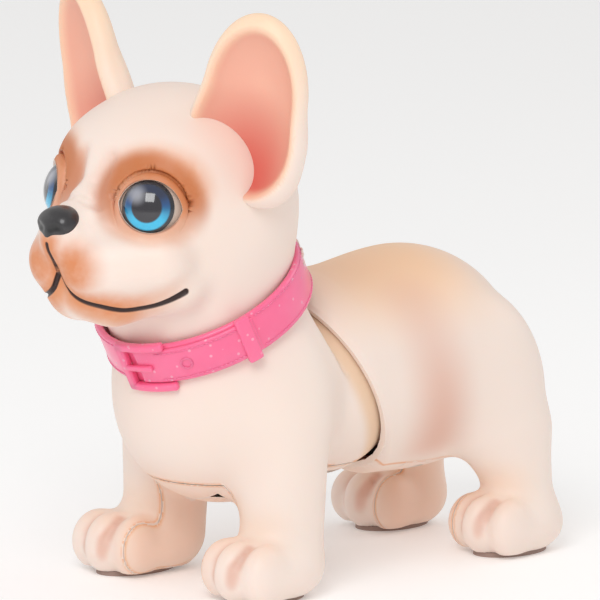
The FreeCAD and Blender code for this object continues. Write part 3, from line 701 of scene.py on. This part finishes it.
def makeFront():
    size = frontSizes
    chest = egg(neck + (0, 7.5, -32.0), size["chest"])
    collarBase = limb(neck - neckUp * 30.0, neck + neckUp * 2.0, 33.0, 33.6)
    belly = limb((0, -26.0, 63.0), (0, 22.0, 65.0), 32.0, 31.0)
    dome = egg(waist, (size["dome"],) * 3)
    legX, legY = forePad[0] - 3.2, forePad[1] + 10.6
    leg = limb((legX, legY, 13.0), (legX - 0.5, legY + 1.0, 58.0), size["leg"] - 0.4, size["leg"] + 1.6)
    paw, toes, clefts = pawShapes(forePad, None, size, size["leg"])
    elbow = egg((legX - 4.0, legY + 3.0, 66.0), (14.0, 16.0, 22.0))
    seeds = [chest, collarBase, belly, dome, both(leg), both(paw), both(elbow)] + [both(toe) for toe in toes]
    back = slab(waist - neckBack * 6.0, -neckBack)
    shell = egg(waist, (60.0,) * 3)

    def smooth(points):
        body = merged(chest(points), collarBase(points), 12.0)
        body = merged(body, belly(points), 12.0)
        limbs = folded(lambda p: merged(pawField(p, leg, paw, toes, clefts), elbow(p), 9.0))(points)
        body = merged(body, limbs, 8.0)
        behind = np.maximum(back(points), shell(points))
        body = carved(body, behind, 0.8)
        return np.maximum(merged(body, dome(points), 1.2), (points - neck) @ neckUp)

    def plain(points):
        body = merged(merged(chest(points), collarBase(points), 12.0), belly(points), 12.0)
        limbs = folded(lambda p: merged(merged(leg(p), paw(p), 7.0), elbow(p), 9.0))(points)
        body = merged(body, limbs, 8.0)
        body = carved(body, np.maximum(back(points), shell(points)), 0.8)
        return merged(body, dome(points), 1.2)

    clefted = folded(lambda p: np.min([cleft(p) for cleft in clefts], axis=0))
    footTop = folded(lambda p: np.abs((p - forePad)[:, 2] - 23.0))
    front = skin("front", seeds, smooth, size["voxel"], size["wall"], hollow=plain)
    masked(front,
           # painted shade in the clefts between the toes
           cleft=lambda p: soft(clefted(p), 0.2, 2.6),
           footTone=lambda p: soft(footTop(p), 0.0, 12.0) * soft(p[:, 1], forePad[1] - 8.0, forePad[1] + 8.0),
           # painted warm shade between the legs
           innerGlow=lambda p: soft(np.abs(p[:, 0]), 13.0, 30.0) * soft(p[:, 2], 22.0, 50.0),
           # painted warm shade along the parting line round the belly cover
           seam=lambda p: soft(seamAway("front_belly_cover", p), 0.1, 1.1),
           # painted shade on the dome where it sinks inside the rear shell's rim
           domeTone=lambda p: soft(np.abs(dome(p)), 0.3, 1.0) * soft(back(p), -3.0, 2.0),
           backTone=lambda p: np.zeros(len(p)), flankTone=lambda p: np.zeros(len(p)))
    armLow, armHigh = corners("drive_arm")
    slot = crate("slot", (-12.5, waist[1] + 20.0, armHigh[2] - 5.2), (12.5, waist[1] + 45.0, armHigh[2] + 1.2))
    front = cut(front, slot, "DIFFERENCE")
    dropped(slot)
    return front


# ---- rear half
rearSizes = {"voxel": 1.0, "wall": 2.1, "rump": (36.2, 42.5, 36.5), "mouth": 34.6, "rim": 36.9, "leg": 12.4,
             "toe": (6.5, 9.2, 9.8), "paw": (14.0, 17.5, 10.0)}


def makeRear():
    size = rearSizes
    rumpSpot = np.array([0.0, 58.0, 67.0])
    rump = egg(rumpSpot, size["rump"])
    flank = limb(waist, rumpSpot, size["rim"] - 0.2, size["rim"] - 0.4)
    rim = egg(waist, (size["rim"],) * 3)
    legX, legY = hindPad[0] - 2.5, hindPad[1] + 6.1
    leg = limb((legX + 0.5, legY, 13.0), (legX - 1.0, legY - 1.0, 40.0), size["leg"] - 0.6, size["leg"])
    thigh = egg((legX - 3.0, legY - 9.5, 57.0), (15.5, 20.0, 31.0), turnAbout((1, 0, 0), 8.0))
    paw, toes, clefts = pawShapes(hindPad, None, size, size["leg"])
    seeds = [rump, flank, rim, both(leg), both(thigh), both(paw)] + [both(toe) for toe in toes]
    tail = egg((0.0, 99.0, 82.0), (4.5, 5.5, 5.0))

    def rimmed(body, points):
        # keeps the mouth a clean round rim
        depth = (points - waist) @ neckBack
        away = np.linalg.norm(points - waist, axis=1)
        bound = away - size["rim"] - 3.0 * np.maximum(depth - 1.0, 0.0) - 1.2 * np.maximum(away - 48.0, 0.0)
        return carved(body, -bound, 2.0)

    def smooth(points):
        body = merged(np.minimum(flank(points), rim(points)), rump(points), 8.0)
        limbs = folded(lambda p: merged(pawField(p, leg, paw, toes, clefts), thigh(p), 8.0))(points)
        return rimmed(merged(merged(body, limbs, 7.0), tail(points), 4.0), points)

    def plain(points):
        body = merged(np.minimum(flank(points), rim(points)), rump(points), 8.0)
        limbs = folded(lambda p: merged(merged(leg(p), paw(p), 7.0), thigh(p), 8.0))(points)
        return rimmed(merged(body, limbs, 7.0), points)

    rear = skin("rear", seeds, smooth, size["voxel"], size["wall"], hollow=plain)
    clefted = folded(lambda p: np.min([cleft(p) for cleft in clefts], axis=0))
    flankLine = folded(strand([(30.0, 40.0, 92.0), (37.0, 44.0, 66.0), (33.0, 48.0, 42.0)], [0.0] * 3))
    footTop = folded(lambda p: np.abs((p - hindPad)[:, 2] - 23.0))
    masked(rear,
           # painted shade in the clefts between the toes
           cleft=lambda p: soft(clefted(p), 0.2, 2.6),
           footTone=lambda p: soft(footTop(p), 0.0, 12.0) * soft(p[:, 1], hindPad[1] - 8.0, hindPad[1] + 8.0),
           # painted warm shade between the legs and on the inside of the shell wall
           innerGlow=lambda p: np.maximum(soft(np.abs(p[:, 0]), 13.0, 28.0) * soft(p[:, 2], 20.0, 44.0),
                                          soft(smooth(p), -1.9, -1.2)),
           # painted warm shade along the parting line round the belly cover
           seam=lambda p: soft(seamAway("rear_belly_cover", p), 0.1, 1.1),
           domeTone=lambda p: np.zeros(len(p)),
           backTone=lambda p: soft(102.0 - p[:, 2], -2.0, 26.0) * soft(np.abs(p[:, 1] - 40.0), 10.0, 55.0),
           # painted shade down the hollow in front of the thigh
           flankTone=lambda p: soft(flankLine(p), 0.0, 19.0) * (0.45 + 0.55 * soft(p[:, 2], 50.0, 92.0)))
    mouth = crate("mouth", (-60, -60, -60), (60, 60, 0))
    mouth.data.transform(Matrix.Translation(Vector(waist)) @ Vector(neckBack).to_track_quat("Z", "Y").to_matrix().to_4x4())
    hollow = bmesh.new()
    bmesh.ops.create_icosphere(hollow, subdivisions=6, radius=size["mouth"], matrix=Matrix.Translation(Vector(waist)))
    cavity = stored("cavity", hollow)
    rear = cut(rear, mouth, "DIFFERENCE")
    rear = cut(rear, cavity, "DIFFERENCE")
    dropped(mouth, cavity)
    return rear


def parted(whole, shellName, coverName, node):
    """Splits a half into its shell and its belly cover, along the cover's own outline in the frame."""
    low, high = corners(node)
    half, top = high[0] + 0.15, high[2] + 0.15
    top = min(top, 38.0)
    outer = crate("outer", (-half, low[1] - 30.0 if node[0] == "f" else low[1] - 0.15, -5), (half, high[1] + (0.15 if node[0] == "f" else 30.0), top))
    inner = crate("inner", (-half + 0.3, low[1] - 30.0 if node[0] == "f" else low[1] + 0.15, -5),
                  (half - 0.3, high[1] + (-0.15 if node[0] == "f" else 30.0), top - 0.3))
    cover = cut(whole, inner, "INTERSECT", coverName)
    shell = cut(whole, outer, "DIFFERENCE")
    shell.name = shellName
    dropped(outer, inner)
    return shell, cover


def drilled(thing, spots):
    # round holes from below: x, y, radius and how far up they go
    for x, y, radius, top in spots:
        shape = bmesh.new()
        place = Matrix.Translation((x, y, top / 2 - 5.0))
        bmesh.ops.create_cone(shape, cap_ends=True, segments=32, radius1=radius, radius2=radius, depth=top + 10.0, matrix=place)
        drill = stored("drill", shape)
        thing = cut(thing, drill, "DIFFERENCE")
        dropped(drill)
    return thing


def makeDoor(cover):
    low, high = corners("battery_door")
    gap = 0.15
    inner = crate("inner", (low[0] + gap, low[1] + gap, -5), (high[0] - gap, high[1] - gap, high[2]))
    outer = crate("outer", (low[0] - gap, low[1] - gap, -5), (high[0] + gap, high[1] + gap, high[2] + 8.0))
    door = cut(cover, inner, "INTERSECT", "batteryDoor")
    cover = cut(cover, outer, "DIFFERENCE")
    dropped(inner, outer)
    screw = middle("battery_door_screw")
    return cover, drilled(door, [(screw[0], screw[1], 2.6, 32.0)])


def pierceRear(cover):
    low, high = corners("rear_cover_screws")
    speaker, knob = middle("speaker"), corners("switch_knob")
    across = high[0] - 2.6
    spots = [(side * across, (low[1] + high[1]) / 2, 2.9, 38.0) for side in (-1, 1)]
    spots += [(speaker[0] + x, speaker[1] + y, 0.9, 34.0) for x in (-5, 0, 5) for y in (-5, 0, 5)]
    slot = crate("slot", (knob[0][0] - 0.3, knob[0][1] - 0.3, -5), (knob[1][0] + 0.3, knob[1][1] + 4.3, 36))
    cover = cut(cover, slot, "DIFFERENCE")
    dropped(slot)
    return drilled(cover, spots)


# ---- finishes
vinyl = {"cream": (0.86, 0.69, 0.60), "light": (0.91, 0.79, 0.72), "orange": (0.52, 0.15, 0.04), "deep": (0.36, 0.085, 0.02),
         "peach": (0.93, 0.55, 0.30), "rose": (0.70, 0.36, 0.26), "line": (0.035, 0.012, 0.01), "rough": 0.5}


def vinylPaint(name, **extra):
    paint = Paint(name)
    base = paint.blend(paint.noise(14.0, 2.0), vinyl["cream"], vinyl["light"])
    fine = paint.noise(1500.0, 2.0)
    return paint, base, fine


def bodyPaint():
    paint, tone, fine = vinylPaint("vinylBody")
    tone = paint.blend(paint.attribute("backTone") * 0.75, tone, vinyl["peach"])
    # painted shade in the hollow in front of the hind thighs
    tone = paint.blend(paint.attribute("flankTone") * 0.7, tone, vinyl["rose"])
    tone = paint.blend(paint.attribute("footTone") * 0.25, tone, vinyl["peach"])
    # painted shade in the clefts between the toes
    tone = paint.blend(paint.attribute("cleft") * 0.6, tone, vinyl["rose"])
    # painted warm shade between the legs and inside the shell
    tone = paint.blend(paint.attribute("innerGlow") * 0.4, tone, (0.88, 0.46, 0.26))
    # painted warm shade along the parting lines of the belly covers
    tone = paint.blend(paint.attribute("seam") * 0.75, tone, (0.80, 0.30, 0.06))
    # painted shade on the dome inside the rear shell's rim
    tone = paint.blend(paint.attribute("domeTone") * 0.6, tone, (0.80, 0.50, 0.26))
    return paint.coat(**{"Base Color": tone, "Roughness": fine * 0.12 + 0.42, "Subsurface Weight": 0.12,
                         "Subsurface Radius": (1.0, 0.45, 0.3), "Subsurface Scale": 0.004,
                         "Normal": paint.bump(fine, 0.00003, 0.5)})


def facePaint():
    paint, tone, fine = vinylPaint("vinylFace")
    speckle = paint.noise(260.0, 3.0) * 0.5 + 0.75
    tone = paint.blend((paint.attribute("jowl") * 0.95 * speckle).clamped(), tone, (0.70, 0.26, 0.11))
    tone = paint.blend((paint.attribute("chinTone") * 0.6 * speckle).clamped(), tone, (0.74, 0.31, 0.14))
    tone = paint.blend((paint.attribute("eyeRing") * 0.95 * speckle).clamped(), tone, (0.76, 0.32, 0.15))
    tone = paint.blend((paint.attribute("eyeDark") * 0.85).clamped(), tone, vinyl["orange"])
    # painted shade in the forehead wrinkles
    tone = paint.blend(paint.attribute("rutTone") * 0.25, tone, vinyl["rose"])
    tone = paint.blend(paint.attribute("lidTone") * 0.7, tone, (0.86, 0.46, 0.32))
    tone = paint.blend(paint.attribute("lidEdge") * 0.85, tone, (0.16, 0.05, 0.025))
    tone = paint.blend(paint.attribute("mouth"), tone, vinyl["line"])
    return paint.coat(**{"Base Color": tone, "Roughness": fine * 0.12 + 0.42, "Subsurface Weight": 0.12,
                         "Subsurface Radius": (1.0, 0.45, 0.3), "Subsurface Scale": 0.004,
                         "Normal": paint.bump(fine, 0.00003, 0.5)})


def earPaint():
    paint, tone, fine = vinylPaint("vinylEar")
    tone = paint.blend(paint.attribute("tipTone") * 0.7, tone, (0.94, 0.66, 0.42))
    inner = paint.blend(paint.attribute("rootTone"), (0.84, 0.44, 0.33), (0.66, 0.12, 0.09))
    tone = paint.blend(paint.attribute("innerEar"), tone, inner)
    tone = paint.blend(paint.attribute("rimTone") * 0.6, tone, (0.95, 0.70, 0.50))
    return paint.coat(**{"Base Color": tone, "Roughness": fine * 0.12 + 0.42, "Subsurface Weight": 0.15,
                         "Subsurface Radius": (1.0, 0.45, 0.3), "Subsurface Scale": 0.004,
                         "Normal": paint.bump(fine, 0.00003, 0.5)})


# ---- eyes
eyeSizes = {"iris": 9.0, "proud": 0.3}


def onEye(shape):
    # from the eye's own frame, looking along Z, to its place in the head
    turn = Matrix(eyeFrame()).to_4x4()
    bmesh.ops.transform(shape, matrix=Matrix.Translation(Vector(eyeBall)) @ turn, verts=shape.verts)
    return shape


def mirroredPiece(thing):
    shape = bmesh.new()
    shape.from_mesh(thing.data)
    bmesh.ops.scale(shape, vec=(-1, 1, 1), verts=shape.verts)
    bmesh.ops.reverse_faces(shape, faces=shape.faces)
    shape.to_mesh(thing.data)
    shape.free()
    return thing


def makeEye(side):
    size = eyeSizes
    ball = bmesh.new()
    bmesh.ops.create_uvsphere(ball, u_segments=128, v_segments=96, radius=eyeRadius)
    ball = stored(side + "Eyeball", onEye(ball))
    dome = bmesh.new()
    bmesh.ops.create_uvsphere(dome, u_segments=128, v_segments=160, radius=eyeRadius + size["proud"])
    height = math.sqrt((eyeRadius + size["proud"]) ** 2 - size["iris"] ** 2)
    bmesh.ops.bisect_plane(dome, geom=dome.verts[:] + dome.edges[:] + dome.faces[:], plane_co=(0, 0, height),
                           plane_no=(0, 0, 1), clear_inner=True)
    edge = [part for part in dome.edges if part.is_boundary]
    bmesh.ops.contextual_create(dome, geom=edge)
    bmesh.ops.recalc_face_normals(dome, faces=dome.faces)
    dome = stored(side + "Iris", onEye(dome))
    axis = eyeBall + eyeAim * height
    local = eyeFrame()

    def reach(points):
        flat = (points - eyeBall) @ local
        return np.hypot(flat[:, 0], flat[:, 1]) / size["iris"]

    def turnShare(points):
        flat = (points - eyeBall) @ local
        return 0.5 + 0.5 * flat[:, 1] / (np.hypot(flat[:, 0], flat[:, 1]) + 1e-6)
    masked(dome, reach=lambda p: reach(p), height=turnShare,
           # painted sheen at the upper left of the iris
           shine=lambda p: soft(np.linalg.norm(((p - eyeBall) @ local)[:, :2] - (-3.6, 4.2), axis=1), 0.5, 4.6))
    if side == "right":
        mirroredPiece(ball)
        mirroredPiece(dome)
    return ball, dome


def scleraPaint():
    paint = Paint("sclera")
    tone = paint.blend(paint.noise(180.0), (0.52, 0.41, 0.35), (0.60, 0.49, 0.42))
    return paint.coat(**{"Base Color": tone, "Roughness": 0.22, "Coat Weight": 0.6, "Coat Roughness": 0.08})


def irisPaint():
    paint = Paint("iris")
    reach, height = paint.attribute("reach"), paint.attribute("height")
    fibres = paint.noise(900.0, 2.0) * 0.25 + 0.85
    low = paint.ramp(height, 0.62, 0.10)
    blue = paint.blend(low, (0.008, 0.07, 0.22), (0.02, 0.50, 0.80))
    blue = paint.blend(1.0 - fibres, blue, (0.01, 0.10, 0.30))
    ring = paint.ramp(reach, 0.82, 0.90)
    pupil = paint.ramp(reach, 0.62, 0.54)
    blue = paint.blend(paint.ramp(height, 0.55, 0.85) * 0.85, blue, (0.012, 0.012, 0.03))
    tone = paint.blend(ring, blue, (0.004, 0.005, 0.012))
    tone = paint.blend(pupil, tone, (0.012, 0.010, 0.016))
    # painted sheen at the upper left of the iris
    tone = paint.blend((paint.attribute("shine") * 0.55).clamped(), tone, (0.55, 0.56, 0.62))
    return paint.coat(**{"Base Color": tone, "Roughness": 0.12, "Coat Weight": 1.0, "Coat Roughness": 0.02})


# ---- nose
noseSizes = {"voxel": 0.35, "button": (6.2, 5.4, 5.4), "wing": (3.9, 4.4, 4.0)}


def makeNose():
    size = noseSizes
    button = egg(noseMid + (0, 0.6, -0.6), size["button"])
    wings = both(egg(noseMid + (3.8, 0.6, -0.6), size["wing"]))
    tip = egg(noseMid + (0, -0.8, -5.2), (2.6, 3.4, 3.8))
    root = egg(noseMid + (0, 4.5, 0.4), (6.2, 5.5, 4.4))
    nostrils = both(strand(curved([noseMid + (2.5, -6.0, -1.6), noseMid + (4.7, -5.0, -0.8), noseMid + (6.6, -3.6, -2.0)]),
                           spread([1.7, 1.5, 0.6], 17)))
    groove = strand([noseMid + (0, -6.4, 0.2), noseMid + (0, -6.0, -4.0), noseMid + (0, -3.6, -9.0)], [0.2, 0.35, 0.4])

    def field(points):
        body = merged(merged(button(points), wings(points), 2.5), merged(tip(points), root(points), 2.5), 3.0)
        body = carved(body, nostrils(points), 1.0)
        return carved(body, groove(points), 0.9)

    nose = skin("noseTip", [button, wings, tip, root], field, size["voxel"], swell=0.3)
    # painted shade deep in the nostrils
    masked(nose, pit=lambda p: soft(nostrils(p), -0.2, 0.9))
    return nose


def nosePaint():
    paint = Paint("nose")
    pebble = paint.node("ShaderNodeTexVoronoi", {}, Vector=paint.place, Scale=1100.0, output="Distance")
    tone = paint.blend(paint.noise(300.0), (0.018, 0.017, 0.019), (0.035, 0.033, 0.036))
    # painted shade deep in the nostrils
    tone = paint.blend(paint.attribute("pit") * 0.9, tone, (0.002, 0.002, 0.002))
    return paint.coat(**{"Base Color": tone, "Roughness": 0.34, "Coat Weight": 0.35, "Coat Roughness": 0.2,
                         "Normal": paint.bump(pebble, 0.00006, 0.4)})


# ---- collar
collarSizes = {"inner": 34.5, "outer": 36.9, "half": 7.4, "round": 0.9, "stitch": 0.34}


def onNeck(shape):
    turn = neckUpright()
    bmesh.ops.transform(shape, matrix=Matrix.Translation(Vector(neck)) @ turn, verts=shape.verts)
    return shape


def neckUpright():
    # X stays across the toy, Y points to the back of the neck, Z along the neck
    return Matrix((( 1, 0, 0), (0, neckBack[1], neckUp[1]), (0, neckBack[2], neckUp[2]))).to_4x4()


def band(name, inner, outer, low, high, start, end, radius):
    # a strap round the neck between two angles from straight ahead towards the toy's left
    shape = bmesh.new()
    spots = [(inner, low), (outer, low), (outer, high), (inner, high)]
    verts = [shape.verts.new((0, -reach, height)) for reach, height in spots]
    face = shape.faces.new(verts)
    bmesh.ops.rotate(shape, matrix=Matrix.Rotation(math.radians(start), 3, "Z"), verts=shape.verts)
    whole = end - start >= 360
    steps = max(6, int((end - start) / 2.0))
    spun = bmesh.ops.spin(shape, geom=[face] + face.edges[:] + face.verts[:], axis=(0, 0, 1), cent=(0, 0, 0),
                          angle=math.radians(end - start), steps=steps, use_merge=whole)
    if whole:
        bmesh.ops.remove_doubles(shape, verts=shape.verts, dist=0.001)
        bmesh.ops.delete(shape, geom=[part for part in shape.faces if abs(part.normal.z) < 0.5 and
                                      part.calc_center_median().length < 1e9 and len({round(math.atan2(v.co.x, -v.co.y), 3)
                                      for v in part.verts}) == 1], context="FACES_ONLY")
    bmesh.ops.recalc_face_normals(shape, faces=shape.faces)
    sharp = [edge for edge in shape.edges if len(edge.link_faces) == 2 and edge.calc_face_angle(0) > 0.6]
    bmesh.ops.bevel(shape, geom=sharp, offset=radius, offset_type="OFFSET", affect="EDGES", segments=3, profile=0.5, material=-1)
    return stored(name, onNeck(shape))


def stitches(name, reach, heights, start, end, count, size):
    shape = bmesh.new()
    for height in heights:
        for step in range(count):
            angle = math.radians(start + (end - start) * (step + 0.5) / count)
            place = Matrix.Rotation(angle, 4, "Z") @ Matrix.Translation((0, -reach, height))
            place = place @ Matrix.Diagonal((size * 2.6, size, size, 1))
            bmesh.ops.create_icosphere(shape, subdivisions=2, radius=1.0, matrix=place)
    return stored(name, onNeck(shape))


def ringOn(name, reach, angle, radius, wire):
    shape = bmesh.new()
    bmesh.ops.create_circle(shape, segments=10, radius=wire, cap_ends=True)
    bmesh.ops.translate(shape, vec=(radius, 0, 0), verts=shape.verts)
    bmesh.ops.rotate(shape, matrix=Matrix.Rotation(math.radians(90), 3, "X"), cent=(radius, 0, 0), verts=shape.verts)
    bmesh.ops.spin(shape, geom=shape.verts[:] + shape.edges[:] + shape.faces[:], axis=(0, 0, 1), cent=(0, 0, 0),
                   angle=math.radians(360), steps=40, use_merge=True)
    bmesh.ops.remove_doubles(shape, verts=shape.verts, dist=0.001)
    bmesh.ops.recalc_face_normals(shape, faces=shape.faces)
    place = Matrix.Rotation(math.radians(angle), 4, "Z") @ Matrix.Translation((0, -reach, 0)) @ Matrix.Rotation(math.radians(90), 4, "X")
    bmesh.ops.transform(shape, matrix=place, verts=shape.verts)
    return stored(name, onNeck(shape))


def welded(name, *things):
    shape = bmesh.new()
    for thing in things:
        shape.from_mesh(thing.data)
    dropped(*things)
    return stored(name, shape)


def makeCollar():
    size = collarSizes
    inner, outer, half = size["inner"], size["outer"], size["half"]
    strap = band("strap", inner, outer, -half, half, 0, 360, size["round"])
    strapStitches = stitches("strapStitches", outer, (-5.9, 5.9), 78, 352, 100, size["stitch"])
    tongue = band("tongue", outer - 0.2, outer + 1.3, -6.4, 6.4, 7, 76, 0.6)
    tongueStitches = stitches("tongueStitches", outer + 1.3, (-5.1, 5.1), 20, 66, 18, size["stitch"])
    ring = ringOn("ring", outer + 1.35, 36, 1.9, 0.42)
    top = band("top", outer - 0.1, outer + 2.7, 6.6, 9.4, -3, 27, 0.8)
    bottom = band("bottom", outer - 0.1, outer + 2.7, -9.4, -6.6, -3, 27, 0.8)
    near = band("near", outer - 0.1, outer + 2.7, -9.0, 9.0, -3, 2.2, 0.8)
    prong = band("prong", outer + 1.2, outer + 2.9, -1.0, 1.0, 0, 17, 0.6)
    keeper = band("keeper", outer - 0.1, outer + 2.7, -8.4, 8.4, 66, 74, 0.9)
    return (welded("collarStrap", strap, strapStitches), welded("collarTongue", tongue, tongueStitches, ring),
            welded("collarBuckle", top, bottom, near), prong, keeper)


def collarPaint():
    paint = Paint("collar")
    grains = paint.node("ShaderNodeTexVoronoi", {}, Vector=paint.place, Scale=300.0, output="Distance")
    glint = paint.ramp(grains, 0.20, 0.11)
    tone = paint.blend(paint.noise(60.0), (0.93, 0.11, 0.27), (0.97, 0.19, 0.36))
    tone = paint.blend(glint * 0.55, tone, (1.0, 0.55, 0.68))
    return paint.coat(**{"Base Color": tone, "Roughness": 0.36 - glint * 0.2, "Coat Weight": 0.5, "Coat Roughness": 0.15,
                         "Subsurface Weight": 0.25, "Subsurface Radius": (1.0, 0.3, 0.5), "Subsurface Scale": 0.003,
                         "Normal": paint.bump(paint.noise(500.0), 0.00008, 0.4)})


# ---- finishes of the works inside
def mouldedPaint(name, dark, light, rough):
    paint = Paint(name)
    grain = paint.noise(900.0, 2.0)
    tone = paint.blend(paint.noise(40.0), dark, light)
    return paint.coat(**{"Base Color": tone, "Roughness": grain * 0.15 + rough, "Normal": paint.bump(grain, 0.00004, 0.3)})


def metalPaint(name, dark, light, rough):
    paint = Paint(name)
    brushed = paint.noise(600.0, 4.0)
    tone = paint.blend(brushed, dark, light)
    return paint.coat(**{"Base Color": tone, "Metallic": 1.0, "Roughness": brushed * 0.2 + rough})


def dressWorks():
    finishes = {
        "frame_plastic": mouldedPaint("frameGrey", (0.62, 0.62, 0.60), (0.70, 0.70, 0.68), 0.42),
        "gear": mouldedPaint("acetal", (0.82, 0.80, 0.74), (0.88, 0.86, 0.80), 0.3),
        "board": mouldedPaint("boardGreen", (0.02, 0.17, 0.07), (0.03, 0.22, 0.10), 0.3),
        "chip": mouldedPaint("chipBlack", (0.02, 0.02, 0.022), (0.035, 0.035, 0.04), 0.4),
        "switch": mouldedPaint("switchBlack", (0.02, 0.02, 0.02), (0.04, 0.04, 0.04), 0.45),
        "pad": mouldedPaint("soleRubber", (0.30, 0.20, 0.17), (0.38, 0.27, 0.23), 0.7),
        "screw": metalPaint("zinc", (0.50, 0.50, 0.52), (0.66, 0.66, 0.68), 0.25),
        "steel": metalPaint("steel", (0.45, 0.46, 0.48), (0.62, 0.63, 0.65), 0.2),
        "cell": mouldedPaint("cellSleeve", (0.03, 0.04, 0.06), (0.06, 0.07, 0.09), 0.25),
        "vinyl": mouldedPaint("vinylInside", (0.82, 0.66, 0.54), (0.88, 0.74, 0.62), 0.5)}
    slots = {part["node"]: part["material_slot"] for part in frame["record"]["subparts"]}
    for name, node in frame["nodes"].items():
        paint = finishes.get(slots[name])
        if paint:
            node.data.materials.clear()
            node.data.materials.append(paint)
            node.data.shade_smooth()
            node.data.set_sharp_from_angle(angle=math.radians(30))
    print("works dressed")


dressWorks()
head = makeHead()
finished(head, facePaint(), "head", ("face_shell", "head_back_shell"))
earVinyl, bodyVinyl = earPaint(), bodyPaint()
for side in ("left", "right"):
    finished(makeEar(side), earVinyl, "head", (side + "_ear",))
frontShell, frontCover = parted(makeFront(), "frontShell", "frontCover", "front_belly_cover")
frontCover, door = makeDoor(frontCover)
finished(frontShell, bodyVinyl, "front_body", ("front_shell",), angle=40)
finished(frontCover, bodyVinyl, "front_body", ("front_belly_cover",), angle=40)
finished(door, bodyVinyl, "front_body", ("battery_door",), angle=40)
rearShell, rearCover = parted(makeRear(), "rearShell", "rearCover", "rear_belly_cover")
rearCover = pierceRear(rearCover)
finished(rearShell, bodyVinyl, "rear_body", ("rear_shell",), angle=40)
finished(rearCover, bodyVinyl, "rear_body", ("rear_belly_cover",), angle=40)
sclera, iris = scleraPaint(), irisPaint()
for side in ("left", "right"):
    ball, dome = makeEye(side)
    finished(ball, sclera, "head", (side + "_eyeball",))
    finished(dome, iris, "head", (side + "_iris", side + "_cornea"))
finished(makeNose(), nosePaint(), "head", ("nose",))
pink = collarPaint()
stands = (("collar_strap",), ("collar_tongue", "collar_rivet"), ("collar_buckle",), ("buckle_prong",), ("collar_keeper",))
for piece, nodes in zip(makeCollar(), stands):
    finished(piece, pink, "front_body", nodes, angle=50)
setStudio()
